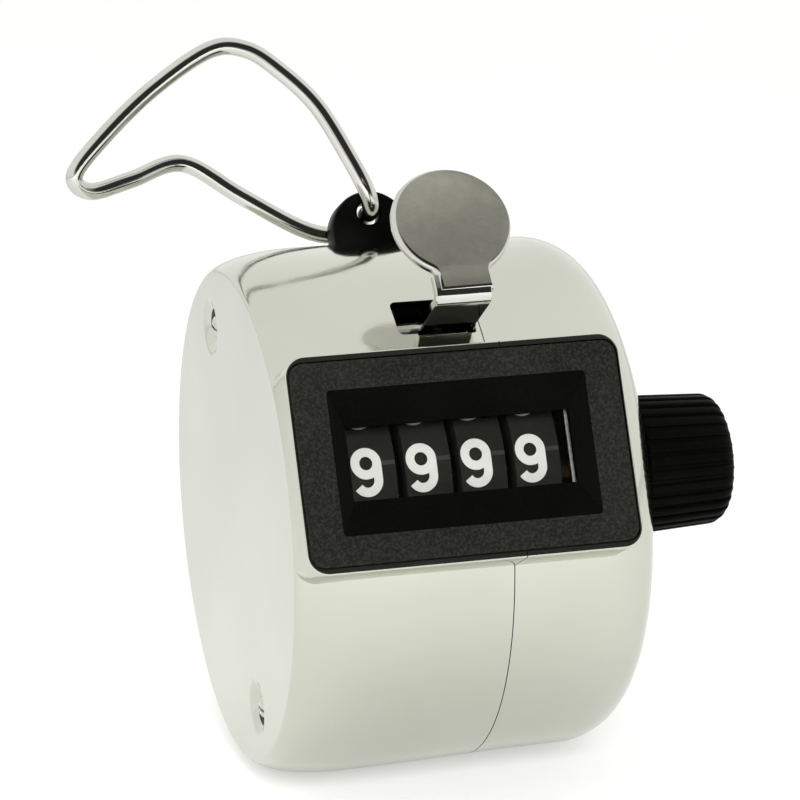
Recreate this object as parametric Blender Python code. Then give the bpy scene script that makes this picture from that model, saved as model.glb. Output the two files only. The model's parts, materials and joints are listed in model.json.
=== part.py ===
"""Hand tally counter: a drum case, four number wheels, a thumb lever, a reset knob and a finger ring.

Counter frame (before the lean): X runs along the drum from the flat left side to the knob, the origin is the
centre of the left side face, -Y points out of the window and Z points up through the ring lug.
The whole counter then leans back about X, so that its window faces slightly upwards.
"""
import math

import bmesh
import bpy
from mathutils import Matrix, Vector

MM = 0.001
GAP = 0.1 * MM
LEAN = math.radians(-25)

# Drum case
CASE_WIDTH = 30.6 * MM
DRUM_RADIUS = 21.75 * MM
DRUM_RIGHT_RADIUS = 21.3 * MM
SHELL_WALL = 0.6 * MM
LEFT_FACE_RADIUS = 20.0 * MM
RIGHT_FACE_RADIUS = 16.8 * MM
LEFT_ROLL = 6.5 * MM
RIGHT_ROLL = 4.9 * MM
SEAM_X = 17.65 * MM
SEAM_GAP = 0.08 * MM
DRUM_SEGMENTS = 54
ROLL_STEPS = 4

# Window
WINDOW_X = 13.75 * MM
WINDOW_Z = -0.2 * MM
BEZEL_FACE_Y = -23.5 * MM
BEZEL_WIDTH = 26.9 * MM
BEZEL_HEIGHT = 16.3 * MM
BEZEL_DEPTH = 1.6 * MM
BEZEL_CORNER = 1.2 * MM
RECESS_WIDTH = 21.2 * MM
RECESS_HEIGHT = 11.7 * MM
OPENING_WIDTH = 18.4 * MM
OPENING_HEIGHT = 5.95 * MM
RECESS_DEPTH = 1.05 * MM
LENS_WIDTH = 20.4 * MM
LENS_HEIGHT = 8.0 * MM
LENS_THICKNESS = 0.6 * MM
COLLAR_SIDE_WALL = 0.2 * MM
COLLAR_WALL = 0.5 * MM

# Wheels and reset shaft
WHEEL_Y = -11.7 * MM
WHEEL_Z = -0.5 * MM
WHEEL_RADIUS = 8.9 * MM
WHEEL_PITCH = 4.5 * MM
FIRST_WHEEL_X = 5.0 * MM
RIM_WIDTH = 3.8 * MM
RATCHET_WIDTH = 0.6 * MM
RATCHET_TIP = 4.1 * MM
RATCHET_ROOT = 3.2 * MM
RATCHET_TEETH = 10
FINGER_WIDTH = 0.4 * MM
FINGER_THICKNESS = 0.28 * MM
WHEEL_BORE = 1.6 * MM
SHAFT_RADIUS = 1.5 * MM
KNOB_RADIUS = 5.7 * MM
KNOB_END_RADIUS = 5.4 * MM
KNOB_END_X = 38.45 * MM
KNOB_RIBS = 30
WHEEL_NAMES = ("thousands", "hundreds", "tens", "units")

# Thumb lever
PIVOT_Y = -14.6 * MM
PIVOT_Z = 10.9 * MM
LEVER_X = 14.85 * MM
PAD_X = 15.1 * MM
PAD_Y = -23.5 * MM
PAD_Z = 18.45 * MM
PAD_RADIUS = 4.85 * MM
PAD_THICKNESS = 1.0 * MM
PAD_LEAN = math.radians(18)
NECK_LENGTH = 6.3 * MM
NECK_WIDTH = 4.4 * MM
STEM_WIDTH = 4.6 * MM
STEM_THICKNESS = 0.8 * MM
HUB_RADIUS = 1.7 * MM
PIVOT_PIN_RADIUS = 1.0 * MM
DRIVE_REACH = 7.5 * MM
SLOT_X = 14.13 * MM

# Inner frame
LEFT_PLATE_X = 2.4 * MM
RIGHT_PLATE_X = 25.4 * MM
PLATE_THICKNESS = 0.8 * MM
PLATE_RADIUS = 19.3 * MM
PLATE_FRONT_Y = -18.3 * MM
POST_Z = 16.0 * MM
POST_RADIUS = 1.9 * MM
REAR_SPACERS = ((12.5 * MM, 6.0 * MM), (9.0 * MM, -10.0 * MM))
DETENT_BAR = (3 * MM, -1 * MM)

# Finger ring
LUG_X = 13.46 * MM
LUG_Y = -4.0 * MM
LUG_HOLE_Z = 23.65 * MM
LUG_WIDTH = 6.6 * MM
LUG_CROWN_Z = 22.2 * MM
LUG_FOOT_MARGIN = 0.6 * MM
LUG_THICKNESS = 2.4 * MM
LUG_HOLE_RADIUS = 1.0 * MM
RING_WIRE_RADIUS = 0.75 * MM
RING_POINTS = (
    (0, 0, 0), (0, -1.7, 0.1), (-0.4, -2.6, 1.5), (-1.6, -3.1, 4.2), (-3.9, -3.5, 8.7), (-6.6, -3.4, 11.9),
    (-9.2, -2.9, 14.1),
    (-12.2, -2.2, 14.4), (-17.2, -1.0, 11.6), (-21.6, 0.0, 8.0), (-24.0, 1.0, 5.3), (-22.6, 1.9, 4.1),
    (-19.0, 2.5, 5.0), (-14.3, 3.4, 6.3), (-9.7, 3.4, 3.2), (-5.1, 2.9, 0.0), (-2.2, 2.6, -0.9), (0, 1.7, -0.1),
)


def clear_scene():
    for item in list(bpy.data.objects):
        bpy.data.objects.remove(item, do_unlink=True)


def make_material(name, colour, roughness, metallic):
    material = bpy.data.materials.new(name)
    material.use_nodes = True
    shader = material.node_tree.nodes["Principled BSDF"]
    shader.inputs["Base Color"].default_value = (*colour, 1)
    shader.inputs["Roughness"].default_value = roughness
    shader.inputs["Metallic"].default_value = metallic
    material.diffuse_color = (*colour, 1)
    return material


def make_empty(name, position, parent=None):
    empty = bpy.data.objects.new(name, None)
    empty.location = position
    empty.parent = parent
    bpy.context.collection.objects.link(empty)
    return empty


def make_object(name, bm, holder, material=None, sharp_angle=35):
    """Closes a bmesh drawn in counter coordinates into an object that hangs from its holder."""
    bmesh.ops.remove_doubles(bm, verts=bm.verts, dist=1e-7)
    bmesh.ops.recalc_face_normals(bm, faces=bm.faces)
    if holder is not counter:
        bmesh.ops.translate(bm, verts=bm.verts, vec=-holder.location)
    mesh = bpy.data.meshes.new(name)
    bm.to_mesh(mesh)
    bm.free()
    mesh.shade_smooth()
    mesh.set_sharp_from_angle(angle=math.radians(sharp_angle))
    item = bpy.data.objects.new(name, mesh)
    item.parent = holder
    bpy.context.collection.objects.link(item)
    if material:
        item.data.materials.append(material)
    return item


def combine(item, bm, holder, operation):
    """Cuts the item by a shape, or joins the shape to it; the shape itself is hidden."""
    tool = make_object(item.name + "_tool", bm, holder)
    tool.hide_render = True
    tool.display_type = "WIRE"
    modifier = item.modifiers.new(operation.lower(), "BOOLEAN")
    modifier.operation = operation
    modifier.object = tool


def cut(item, bm, holder=None):
    combine(item, bm, holder or item.parent, "DIFFERENCE")


def join(item, bm, holder=None):
    combine(item, bm, holder or item.parent, "UNION")


def bridge(bm, first, second):
    count = len(first)
    for i in range(count):
        j = (i + 1) % count
        bm.faces.new((first[i], first[j], second[j], second[i]))


def lathe(profile, centre, segments=32, closed=False):
    """Turns (x, radius) points about an X axis through centre; closed joins the last point to the first."""
    bm = bmesh.new()
    rings = []
    for x, radius in profile:
        angles = [2 * math.pi * i / segments for i in range(segments)]
        rings.append([bm.verts.new((x, centre[0] + radius * math.cos(a), centre[1] + radius * math.sin(a)))
                      for a in angles])
    for first, second in zip(rings, rings[1:]):
        bridge(bm, first, second)
    if closed:
        bridge(bm, rings[-1], rings[0])
    else:
        bm.faces.new(rings[0])
        bm.faces.new(rings[-1])
    return bm


def rod(centre, radius, start, end, segments=16):
    return lathe([(start, radius), (end, radius)], centre, segments)


def tube(centre, bore, radius, start, end, segments=16):
    return lathe([(start, bore), (start, radius), (end, radius), (end, bore)], centre, segments, closed=True)


def loft(outlines):
    """Joins closed outlines of equal length with walls and fills both ends."""
    bm = bmesh.new()
    loops = [[bm.verts.new(point) for point in outline] for outline in outlines]
    for first, second in zip(loops, loops[1:]):
        bridge(bm, first, second)
    bm.faces.new(loops[0])
    bm.faces.new(loops[-1])
    return bm


def prism_x(outline, start, end):
    """Extrudes a (y, z) outline along X."""
    return loft([[(x, y, z) for y, z in outline] for x in (start, end)])


def prism_y(outline, start, end):
    """Extrudes an (x, z) outline along Y."""
    return loft([[(x, y, z) for x, z in outline] for y in (start, end)])


def block(low, high):
    corners = [(low[0], low[2]), (high[0], low[2]), (high[0], high[2]), (low[0], high[2])]
    return prism_y(corners, low[1], high[1])


def arc(centre, radius, start, end, steps):
    """Points of an arc between two angles in degrees."""
    angles = [math.radians(start + (end - start) * i / steps) for i in range(steps + 1)]
    return [(centre[0] + radius * math.cos(a), centre[1] + radius * math.sin(a)) for a in angles]


def rounded_rectangle(centre, width, height, radius, steps=4):
    points = []
    for quarter, (side, rise) in enumerate(((1, 1), (-1, 1), (-1, -1), (1, -1))):
        corner = (centre[0] + side * (width / 2 - radius), centre[1] + rise * (height / 2 - radius))
        points += arc(corner, radius, 90 * quarter, 90 * quarter + 90, steps)
    return points


def ribbon(path, thickness):
    """The outline of a strip of even thickness whose middle follows a path of points."""
    points = [Vector(point) for point in path]
    left = []
    right = []
    for i, point in enumerate(points):
        ahead = (points[min(i + 1, len(points) - 1)] - point).normalized()
        behind = (point - points[max(i - 1, 0)]).normalized()
        along = (ahead + behind).normalized()
        stretch = thickness / 2 / max(0.5, along.dot(ahead if ahead.length else behind))
        side = Vector((-along.y, along.x)) * stretch
        left.append(point + side)
        right.append(point - side)
    return [tuple(point) for point in left + right[::-1]]


def sweep(path, radius, sides=8, closed=False):
    """A round wire along a path; its section is carried along without twist."""
    points = [Vector(point) for point in path]
    count = len(points)
    bm = bmesh.new()
    rings = []
    normal = None
    for i, point in enumerate(points):
        ahead = points[(i + 1) % count] if closed else points[min(i + 1, count - 1)]
        behind = points[i - 1] if closed else points[max(i - 1, 0)]
        along = (ahead - behind).normalized()
        if normal is None:
            normal = along.orthogonal()
        normal = (normal - along * normal.dot(along)).normalized()
        across = along.cross(normal)
        rings.append([bm.verts.new(point + radius * (math.cos(a) * normal + math.sin(a) * across))
                      for a in (2 * math.pi * k / sides for k in range(sides))])
    for first, second in zip(rings, rings[1:]):
        bridge(bm, first, second)
    if closed:
        last = rings[-1]
        turn = min(range(sides), key=lambda k: (rings[0][k].co - last[0].co).length)
        bridge(bm, last, rings[0][turn:] + rings[0][:turn])
    else:
        bm.faces.new(rings[0])
        bm.faces.new(rings[-1])
    return bm


def smooth_loop(points, steps):
    """A closed Catmull-Rom curve through the points."""
    count = len(points)
    curve = []
    for i in range(count):
        p0, p1, p2, p3 = (Vector(points[(i + k) % count]) for k in (-1, 0, 1, 2))
        for k in range(steps):
            t = k / steps
            curve.append(0.5 * (2 * p1 + (p2 - p0) * t + (2 * p0 - 5 * p1 + 4 * p2 - p3) * t ** 2
                                + (3 * p1 - p0 - 3 * p2 + p3) * t ** 3))
    return curve


def rolled_profile(inset):
    """Half the drum's section from the left face's centre to the right one, drawn in by the inset."""
    left_radius = LEFT_FACE_RADIUS - inset
    right_radius = RIGHT_FACE_RADIUS - inset
    radius = DRUM_RADIUS - inset
    narrow_radius = DRUM_RIGHT_RADIUS - inset
    steps = ROLL_STEPS
    points = []
    for i in range(steps + 1):
        angle = math.pi / 2 * i / steps
        points.append((inset + (LEFT_ROLL - inset) * (1 - math.cos(angle)),
                       left_radius + (radius - left_radius) * math.sin(angle)))
    for i in range(steps + 1):
        angle = math.pi / 2 * i / steps
        points.append((CASE_WIDTH - inset - (RIGHT_ROLL - inset) * (1 - math.sin(angle)),
                       right_radius + (narrow_radius - right_radius) * math.cos(angle)))
    return points


def drum(inset):
    return lathe(rolled_profile(inset), (0, 0), DRUM_SEGMENTS)


def case_body(name, material):
    """The drum and its window collar, hollowed; the two shells are halves of this."""
    shell = make_object(name, drum(0), counter, material, 28)
    width = BEZEL_WIDTH + 2 * COLLAR_SIDE_WALL + GAP
    height = BEZEL_HEIGHT + 2 * COLLAR_WALL + GAP
    outline = rounded_rectangle((WINDOW_X, WINDOW_Z), width, height, BEZEL_CORNER + COLLAR_WALL)
    join(shell, prism_y(outline, BEZEL_FACE_Y + GAP, -15 * MM))
    cut(shell, drum(SHELL_WALL))
    outline = rounded_rectangle((WINDOW_X, WINDOW_Z), BEZEL_WIDTH + GAP, BEZEL_HEIGHT + GAP, BEZEL_CORNER)
    cut(shell, prism_y(outline, -25 * MM, BEZEL_FACE_Y + BEZEL_DEPTH + 1.2 * MM))
    outline = rounded_rectangle((WINDOW_X, WINDOW_Z), BEZEL_WIDTH - 0.8 * MM, BEZEL_HEIGHT - 0.4 * MM,
                                BEZEL_CORNER - 0.4 * MM)
    cut(shell, prism_y(outline, -25 * MM, -14 * MM))
    return shell


def left_case_shell(material):
    shell = case_body("left_case_shell", material)
    for z in (POST_Z, -POST_Z):
        join(shell, lathe([(0.3 * MM, 3.3 * MM), (1.6 * MM, 2.6 * MM)], (0, z), 24))
        dimple = [(-0.5 * MM, 2.6 * MM), (0.45 * MM, 1.5 * MM), (0.8 * MM, 1.25 * MM)]
        cut(shell, lathe(dimple, (0, z), 24))
        cut(shell, rod((0, z), 0.75 * MM, -1 * MM, 3 * MM, 16))
    slot = rounded_rectangle((SLOT_X, 11.95 * MM), 6.55 * MM, 3.1 * MM, 0.5 * MM, 3)
    cut(shell, prism_y(slot, -26 * MM, -12 * MM))
    notch = rounded_rectangle((LEVER_X, 10.6 * MM), STEM_WIDTH + 0.3 * MM, 0.9 * MM, 0.2 * MM, 2)
    cut(shell, prism_y(notch, -21 * MM, -17 * MM))
    lug_slot = LUG_WIDTH / 2 + GAP
    lug_depth = LUG_THICKNESS / 2 + GAP
    low = (LUG_X - lug_slot, LUG_Y - lug_depth, 18 * MM)
    cut(shell, block(low, (LUG_X + lug_slot, LUG_Y + lug_depth, 24 * MM)))
    cut(shell, block((SEAM_X, -30 * MM, -30 * MM), (40 * MM, 30 * MM, 30 * MM)))


def right_case_shell(material):
    shell = case_body("right_case_shell", material)
    cut(shell, rod((WHEEL_Y, WHEEL_Z), 2.4 * MM, 26 * MM, 33 * MM))
    cut(shell, block((-10 * MM, -30 * MM, -30 * MM), (SEAM_X + SEAM_GAP, 30 * MM, 30 * MM)))


def window_bezel(material):
    outline = rounded_rectangle((WINDOW_X, WINDOW_Z), BEZEL_WIDTH, BEZEL_HEIGHT, BEZEL_CORNER)
    inner = rounded_rectangle((WINDOW_X, WINDOW_Z), BEZEL_WIDTH - 0.5 * MM, BEZEL_HEIGHT - 0.5 * MM,
                              BEZEL_CORNER - 0.25 * MM)
    loops = [[(x, BEZEL_FACE_Y, z) for x, z in inner],
             [(x, BEZEL_FACE_Y + 0.25 * MM, z) for x, z in outline],
             [(x, BEZEL_FACE_Y + BEZEL_DEPTH, z) for x, z in outline]]
    bezel = make_object("window_bezel", loft(loops), counter, material)
    slope_x = (RECESS_WIDTH - OPENING_WIDTH) / RECESS_DEPTH
    slope_z = (RECESS_HEIGHT - OPENING_HEIGHT) / RECESS_DEPTH
    loops = []
    for depth in (-0.5 * MM, RECESS_DEPTH):
        width = RECESS_WIDTH - slope_x * depth
        height = RECESS_HEIGHT - slope_z * depth
        outline = rounded_rectangle((WINDOW_X, WINDOW_Z), width, height, 0.25 * MM, 1)
        loops.append([(x, BEZEL_FACE_Y + depth, z) for x, z in outline])
    loops.append([(x, BEZEL_FACE_Y + BEZEL_DEPTH + 1 * MM, z) for x, _, z in loops[-1]])
    cut(bezel, loft(loops))


def window_lens(material):
    front = BEZEL_FACE_Y + BEZEL_DEPTH + 0.05 * MM
    outline = rounded_rectangle((WINDOW_X, WINDOW_Z), LENS_WIDTH, LENS_HEIGHT, 0.6 * MM, 2)
    make_object("window_lens", prism_y(outline, front, front + LENS_THICKNESS), counter, material)


def frame_plate(name, start, material):
    """A disc cut straight at the front, bored for the shafts, posts and spacer screws."""
    cut_angle = math.degrees(math.acos(PLATE_FRONT_Y / PLATE_RADIUS))
    outline = arc((0, 0), PLATE_RADIUS, -cut_angle, cut_angle, 30)
    plate = make_object(name, prism_x(outline, start, start + PLATE_THICKNESS), counter, material)
    ends = (start - 1 * MM, start + 2 * MM)
    holes = [(WHEEL_Y, WHEEL_Z, 2.7 * MM), (PIVOT_Y, PIVOT_Z, 1.1 * MM)]
    holes += [(0, POST_Z, POST_RADIUS + GAP), (0, -POST_Z, POST_RADIUS + GAP)]
    holes += [(y, z, 0.8 * MM) for y, z in REAR_SPACERS]
    holes += [(*DETENT_BAR, 0.8 * MM), (0.5 * MM, 8 * MM, 3.2 * MM), (0.5 * MM, -8 * MM, 3.2 * MM)]
    for y, z, radius in holes:
        cut(plate, rod((y, z), radius, *ends, 12))


def frame_spacers(material):
    names = ("upper_rear_spacer", "lower_rear_spacer", "detent_bar")
    places = (*REAR_SPACERS, DETENT_BAR)
    start = LEFT_PLATE_X + PLATE_THICKNESS + GAP
    end = RIGHT_PLATE_X - GAP
    for name, centre in zip(names, places):
        if name == "detent_bar":
            low, high = centre[0] - 1.6 * MM, centre[0] + 1.6 * MM
            shape = block((start, low, centre[1] - 1.6 * MM), (end, high, centre[1] + 1.6 * MM))
        else:
            shape = rod(centre, 1.8 * MM, start, end)
        spacer = make_object(name, shape, counter, material)
        cut(spacer, rod(centre, 0.7 * MM, start - 1 * MM, start + 5 * MM, 16))
        cut(spacer, rod(centre, 0.7 * MM, end - 5 * MM, end + 1 * MM, 16))


def slotted_screw(name, centre, seat, inward, length, head_radius, shank_radius, material):
    """A pan-head screw whose head sits at seat and whose shank points inward along X."""
    outer = seat - inward * 0.55 * MM
    profile = [(outer, head_radius * 0.62), (seat - inward * 0.35 * MM, head_radius * 0.95),
               (seat, head_radius), (seat, shank_radius), (seat + inward * length, shank_radius)]
    screw = make_object(name, lathe(profile, centre, 12), counter, material)
    slot = block((outer - 0.3 * MM, centre[0] - 0.13 * MM, centre[1] - 2 * MM),
                 (outer + 0.3 * MM, centre[0] + 0.13 * MM, centre[1] + 2 * MM))
    cut(screw, slot)


def frame_screws(material):
    left_seat = LEFT_PLATE_X - 0.05 * MM
    right_seat = RIGHT_PLATE_X + PLATE_THICKNESS + 0.05 * MM
    sizes = (4 * MM, 1.2 * MM, 0.6 * MM)
    for name, centre in zip(("upper_rear", "lower_rear", "detent_bar"), (*REAR_SPACERS, DETENT_BAR)):
        slotted_screw(name + "_screw_left", centre, left_seat, 1, *sizes, material)
        slotted_screw(name + "_screw_right", centre, right_seat, -1, *sizes, material)


def case_posts(post_material, screw_material):
    for name, z in (("upper", POST_Z), ("lower", -POST_Z)):
        start = 1.65 * MM
        shape = rod((0, z), POST_RADIUS, start, 29.0 * MM)
        post = make_object(name + "_case_post", shape, counter, post_material)
        cut(post, rod((0, z), 0.7 * MM, start - 1 * MM, start + 6 * MM, 16))
        sizes = (5.5 * MM, 0.95 * MM, 0.6 * MM)
        slotted_screw(name + "_case_screw", (0, z), 0.75 * MM, 1, *sizes, screw_material)


def shaft_bushings(material):
    centre = (WHEEL_Y, WHEEL_Z)
    for name, start in (("left_shaft_bushing", LEFT_PLATE_X), ("right_shaft_bushing", RIGHT_PLATE_X)):
        end = start + PLATE_THICKNESS
        profile = [(start - 0.3 * MM, 1.6 * MM), (start - 0.3 * MM, 2.6 * MM), (end + 0.05 * MM, 2.6 * MM),
                   (end + 0.05 * MM, 3.4 * MM), (end + 0.4 * MM, 3.4 * MM), (end + 0.4 * MM, 1.6 * MM)]
        make_object(name, lathe(profile, centre, 16, closed=True), counter, material)


def spacer_sleeves(material):
    centre = (WHEEL_Y, WHEEL_Z)
    left_start = LEFT_PLATE_X + PLATE_THICKNESS + 0.5 * MM
    last_x = FIRST_WHEEL_X + 3 * WHEEL_PITCH + RIM_WIDTH + RATCHET_WIDTH
    left = tube(centre, WHEEL_BORE, 2.5 * MM, left_start, FIRST_WHEEL_X - GAP)
    right = tube(centre, WHEEL_BORE, 2.5 * MM, last_x + GAP, RIGHT_PLATE_X - 0.4 * MM)
    make_object("left_spacer_sleeve", left, wheel_axis, material)
    make_object("right_spacer_sleeve", right, wheel_axis, material)


def detent_comb(material):
    """A leaf spring plate on the detent bar with one finger in each gap between the wheels."""
    bar_top = -1 * MM + 1.6 * MM + 0.05 * MM
    thickness = 0.3 * MM
    root = 5.0 * MM
    tip = WHEEL_Y + RATCHET_TIP + 0.2 * MM
    start = -1.6 * MM
    plate = block((5.2 * MM, start, bar_top), (24.8 * MM, root, bar_top + thickness))
    comb = make_object("detent_comb", plate, counter, material)
    for i in range(4):
        x = FIRST_WHEEL_X + i * WHEEL_PITCH + RIM_WIDTH + RATCHET_WIDTH / 2
        path = [(start + 0.3 * MM, bar_top + 0.15 * MM), (tip + 1.2 * MM, WHEEL_Z + 0.6 * MM),
                (tip, WHEEL_Z - 0.1 * MM)]
        finger = ribbon(path, FINGER_THICKNESS)
        join(comb, prism_x(finger, x - FINGER_WIDTH / 2, x + FINGER_WIDTH / 2))


def ring_lug(material):
    """A half-round ear that stands through the case top on a wider foot."""
    half = LUG_WIDTH / 2
    crown = arc((LUG_X, LUG_CROWN_Z), half, 0, 180, 16)
    low = 20.3 * MM
    outline = crown + [(LUG_X - half, low), (LUG_X + half, low)]
    ear = prism_y(outline, LUG_Y - LUG_THICKNESS / 2, LUG_Y + LUG_THICKNESS / 2)
    lug = make_object("ring_lug", ear, counter, material)
    foot_half = half + LUG_FOOT_MARGIN
    foot = block((LUG_X - foot_half, LUG_Y - 2 * MM, 19.0 * MM),
                 (LUG_X + foot_half, LUG_Y + 2 * MM, 19.85 * MM))
    join(lug, foot)
    stalk = block((LUG_X - half, LUG_Y - 1.1 * MM, 19.5 * MM), (LUG_X + half, LUG_Y + 1.1 * MM, 20.8 * MM))
    join(lug, stalk)
    hole = arc((LUG_X, LUG_HOLE_Z), LUG_HOLE_RADIUS, 0, 345, 23)
    cut(lug, prism_y(hole, LUG_Y - 4 * MM, LUG_Y + 4 * MM))


def finger_ring(material):
    path = [Vector(point) * MM + ring_axis.location for point in RING_POINTS]
    wire = sweep(smooth_loop(path, 4), RING_WIRE_RADIUS, 6, closed=True)
    make_object("finger_ring", wire, ring_axis, material, 60)


def number_wheels(material):
    centre = (WHEEL_Y, WHEEL_Z)
    for i, name in enumerate(WHEEL_NAMES):
        x = FIRST_WHEEL_X + i * WHEEL_PITCH
        end = x + RIM_WIDTH
        rim = [(x + 1.0 * MM, WHEEL_BORE), (x + 1.0 * MM, 7.6 * MM), (x, 7.6 * MM), (x, WHEEL_RADIUS),
               (end, WHEEL_RADIUS), (end, WHEEL_BORE)]
        wheel = make_object(name + "_wheel", lathe(rim, centre, 30, closed=True), wheel_axis, material)
        teeth = []
        for tooth in range(RATCHET_TEETH):
            angle = 2 * math.pi * tooth / RATCHET_TEETH
            for radius, offset in ((RATCHET_ROOT, 0.02), (RATCHET_TIP, 0.0)):
                turn = angle + offset
                teeth.append((centre[0] + radius * math.cos(turn), centre[1] + radius * math.sin(turn)))
        teeth = teeth[::-1]
        join(wheel, prism_x(teeth, end - 0.2 * MM, end + RATCHET_WIDTH))
        cut(wheel, rod(centre, WHEEL_BORE, end - 0.4 * MM, end + 2 * MM, 30))
        spring = arc(centre, 4.4 * MM, 20, 330, 10) + arc(centre, 4.0 * MM, 330, 20, 10)
        shape = prism_x(spring, x + 0.3 * MM, x + 0.9 * MM)
        make_object(name + "_pickup_spring", shape, wheel_axis, spring_steel)


def reset_shaft(material):
    centre = (WHEEL_Y, WHEEL_Z)
    groove = 1.35 * MM
    profile = [(1.0 * MM, 1.2 * MM), (1.2 * MM, SHAFT_RADIUS), (groove, SHAFT_RADIUS), (groove, 1.05 * MM),
               (groove + 0.5 * MM, 1.05 * MM), (groove + 0.5 * MM, SHAFT_RADIUS), (36.6 * MM, SHAFT_RADIUS)]
    shaft = make_object("reset_shaft", lathe(profile, centre, 18), wheel_axis, material)
    keyway = block((5 * MM, WHEEL_Y - 0.3 * MM, WHEEL_Z + 1.0 * MM),
                   (24 * MM, WHEEL_Y + 0.3 * MM, WHEEL_Z + 3 * MM))
    cut(shaft, keyway)
    clip = arc(centre, 2.3 * MM, 25, 335, 18) + arc(centre, 1.15 * MM, 335, 25, 18)
    shape = prism_x(clip, groove + 0.05 * MM, groove + 0.4 * MM)
    make_object("shaft_retaining_clip", shape, wheel_axis, spring_steel)


def reset_knob(material):
    """A ribbed cap: the outline is a circle with shallow grooves, drawn in over the rounded end."""
    centre = Vector((0, WHEEL_Y, WHEEL_Z))
    stations = ((30.85 * MM, KNOB_RADIUS),
                (KNOB_END_X - 1.05 * MM, KNOB_END_RADIUS),
                (KNOB_END_X - 0.3 * MM, KNOB_END_RADIUS - 0.35 * MM),
                (KNOB_END_X, KNOB_END_RADIUS - 1.1 * MM))
    loops = []
    for x, radius in stations:
        loop = []
        for i in range(KNOB_RIBS * 3):
            angle = 2 * math.pi * i / (KNOB_RIBS * 3)
            depth = 0.28 * MM if i % 3 == 2 else 0
            reach = radius - depth
            loop.append(centre + Vector((x, reach * math.cos(angle), reach * math.sin(angle))))
        loops.append(loop)
    knob = make_object("reset_knob", loft(loops), wheel_axis, material, 20)
    cut(knob, rod((WHEEL_Y, WHEEL_Z), WHEEL_BORE, 30 * MM, 36.8 * MM))


def lever_pivot(material):
    pin = rod((PIVOT_Y, PIVOT_Z), PIVOT_PIN_RADIUS, LEFT_PLATE_X - 0.4 * MM,
              RIGHT_PLATE_X + PLATE_THICKNESS + 0.4 * MM)
    make_object("lever_pivot_pin", pin, counter, material)


def pad_outline(radius, neck_width):
    """The thumb pad's round head and neck in (across, up) coordinates about the pad's centre."""
    start = -90 + math.degrees(math.asin(neck_width / 2 / radius))
    head = arc((0, 0), radius, start, 180 - start, 24)
    return head + [(-neck_width / 2, -NECK_LENGTH), (neck_width / 2, -NECK_LENGTH)]


def thumb_lever(material):
    up = Vector((0, math.sin(PAD_LEAN), math.cos(PAD_LEAN)))
    out = Vector((0, -math.cos(PAD_LEAN), math.sin(PAD_LEAN)))
    centre = Vector((PAD_X, PAD_Y, PAD_Z))
    loops = []
    for depth, inset in ((0, 0.35 * MM), (0.3 * MM, 0), (PAD_THICKNESS, 0)):
        outline = pad_outline(PAD_RADIUS - inset, NECK_WIDTH - 2 * inset)
        loops.append([centre + Vector((across, 0, 0)) + up * rise - out * depth for across, rise in outline])
    lever = make_object("thumb_lever", loft(loops), lever_axis, material)
    bend = centre - up * NECK_LENGTH - out * PAD_THICKNESS / 2
    top = bend + up * 1.5 * MM
    corner = bend + Vector((0, 0.35 * MM, -0.55 * MM))
    path = [(top.y, top.z), (bend.y, bend.z), (corner.y, corner.z), (-18.6 * MM, 10.95 * MM),
            (PIVOT_Y, 10.85 * MM)]
    half = STEM_WIDTH / 2
    join(lever, prism_x(ribbon(path, STEM_THICKNESS), LEVER_X - half, LEVER_X + half))
    join(lever, rod((PIVOT_Y, PIVOT_Z), HUB_RADIUS, 6.9 * MM, 24.6 * MM, 28))
    flange = [(PIVOT_Y, 10.35 * MM), (-10.9 * MM, 10.35 * MM), (-10.9 * MM, 11.1 * MM), (PIVOT_Y, 11.1 * MM)]
    join(lever, prism_x(flange, 7.2 * MM, 23.6 * MM))
    cut(lever, rod((PIVOT_Y, PIVOT_Z), PIVOT_PIN_RADIUS + GAP, 0, 30 * MM, 24))
    for x in (11.45 * MM, 20.45 * MM):
        cut(lever, rod_z((x, -12.0 * MM), 0.45 * MM, 9 * MM, 12 * MM))


def rod_z(centre, radius, low, high, segments=14):
    outline = arc(centre, radius, 0, 360 - 360 / segments, segments - 1)
    return loft([[(x, y, z) for x, y in outline] for z in (low, high)])


def drive_comb(steel, rivet_material):
    """The lever's spring comb: a plate under the flange with a finger down to each ratchet."""
    top = 10.3 * MM
    thickness = 0.3 * MM
    low_y, high_y = -12.95 * MM, -11.1 * MM
    plate = block((7.4 * MM, low_y, top - thickness), (23.4 * MM, high_y, top))
    comb = make_object("drive_comb", plate, lever_axis, steel)
    pivot = Vector((PIVOT_Y, PIVOT_Z))
    aim = (Vector((WHEEL_Y, WHEEL_Z)) - pivot).normalized()
    aim.rotate(Matrix.Rotation(math.radians(10), 2))
    tip = pivot + aim * DRIVE_REACH
    for i in range(4):
        x = FIRST_WHEEL_X + i * WHEEL_PITCH + RIM_WIDTH + RATCHET_WIDTH / 2
        path = [(high_y - 0.4 * MM, top - 0.1 * MM), (high_y - 0.2 * MM, top - 0.9 * MM), tuple(tip)]
        finger = ribbon(path, FINGER_THICKNESS)
        join(comb, prism_x(finger, x - FINGER_WIDTH / 2, x + FINGER_WIDTH / 2))
    for name, x in (("left", 11.45 * MM), ("right", 20.45 * MM)):
        cut(comb, rod_z((x, -12.0 * MM), 0.45 * MM, 9 * MM, 12 * MM))
        shank = rod_z((x, -12.0 * MM), 0.36 * MM, 9.8 * MM, 11.3 * MM)
        rivet = make_object(name + "_comb_rivet", shank, lever_axis, rivet_material)
        join(rivet, rod_z((x, -12.0 * MM), 0.7 * MM, 11.15 * MM, 11.45 * MM))
        join(rivet, rod_z((x, -12.0 * MM), 0.65 * MM, 9.7 * MM, 9.95 * MM))


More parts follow.
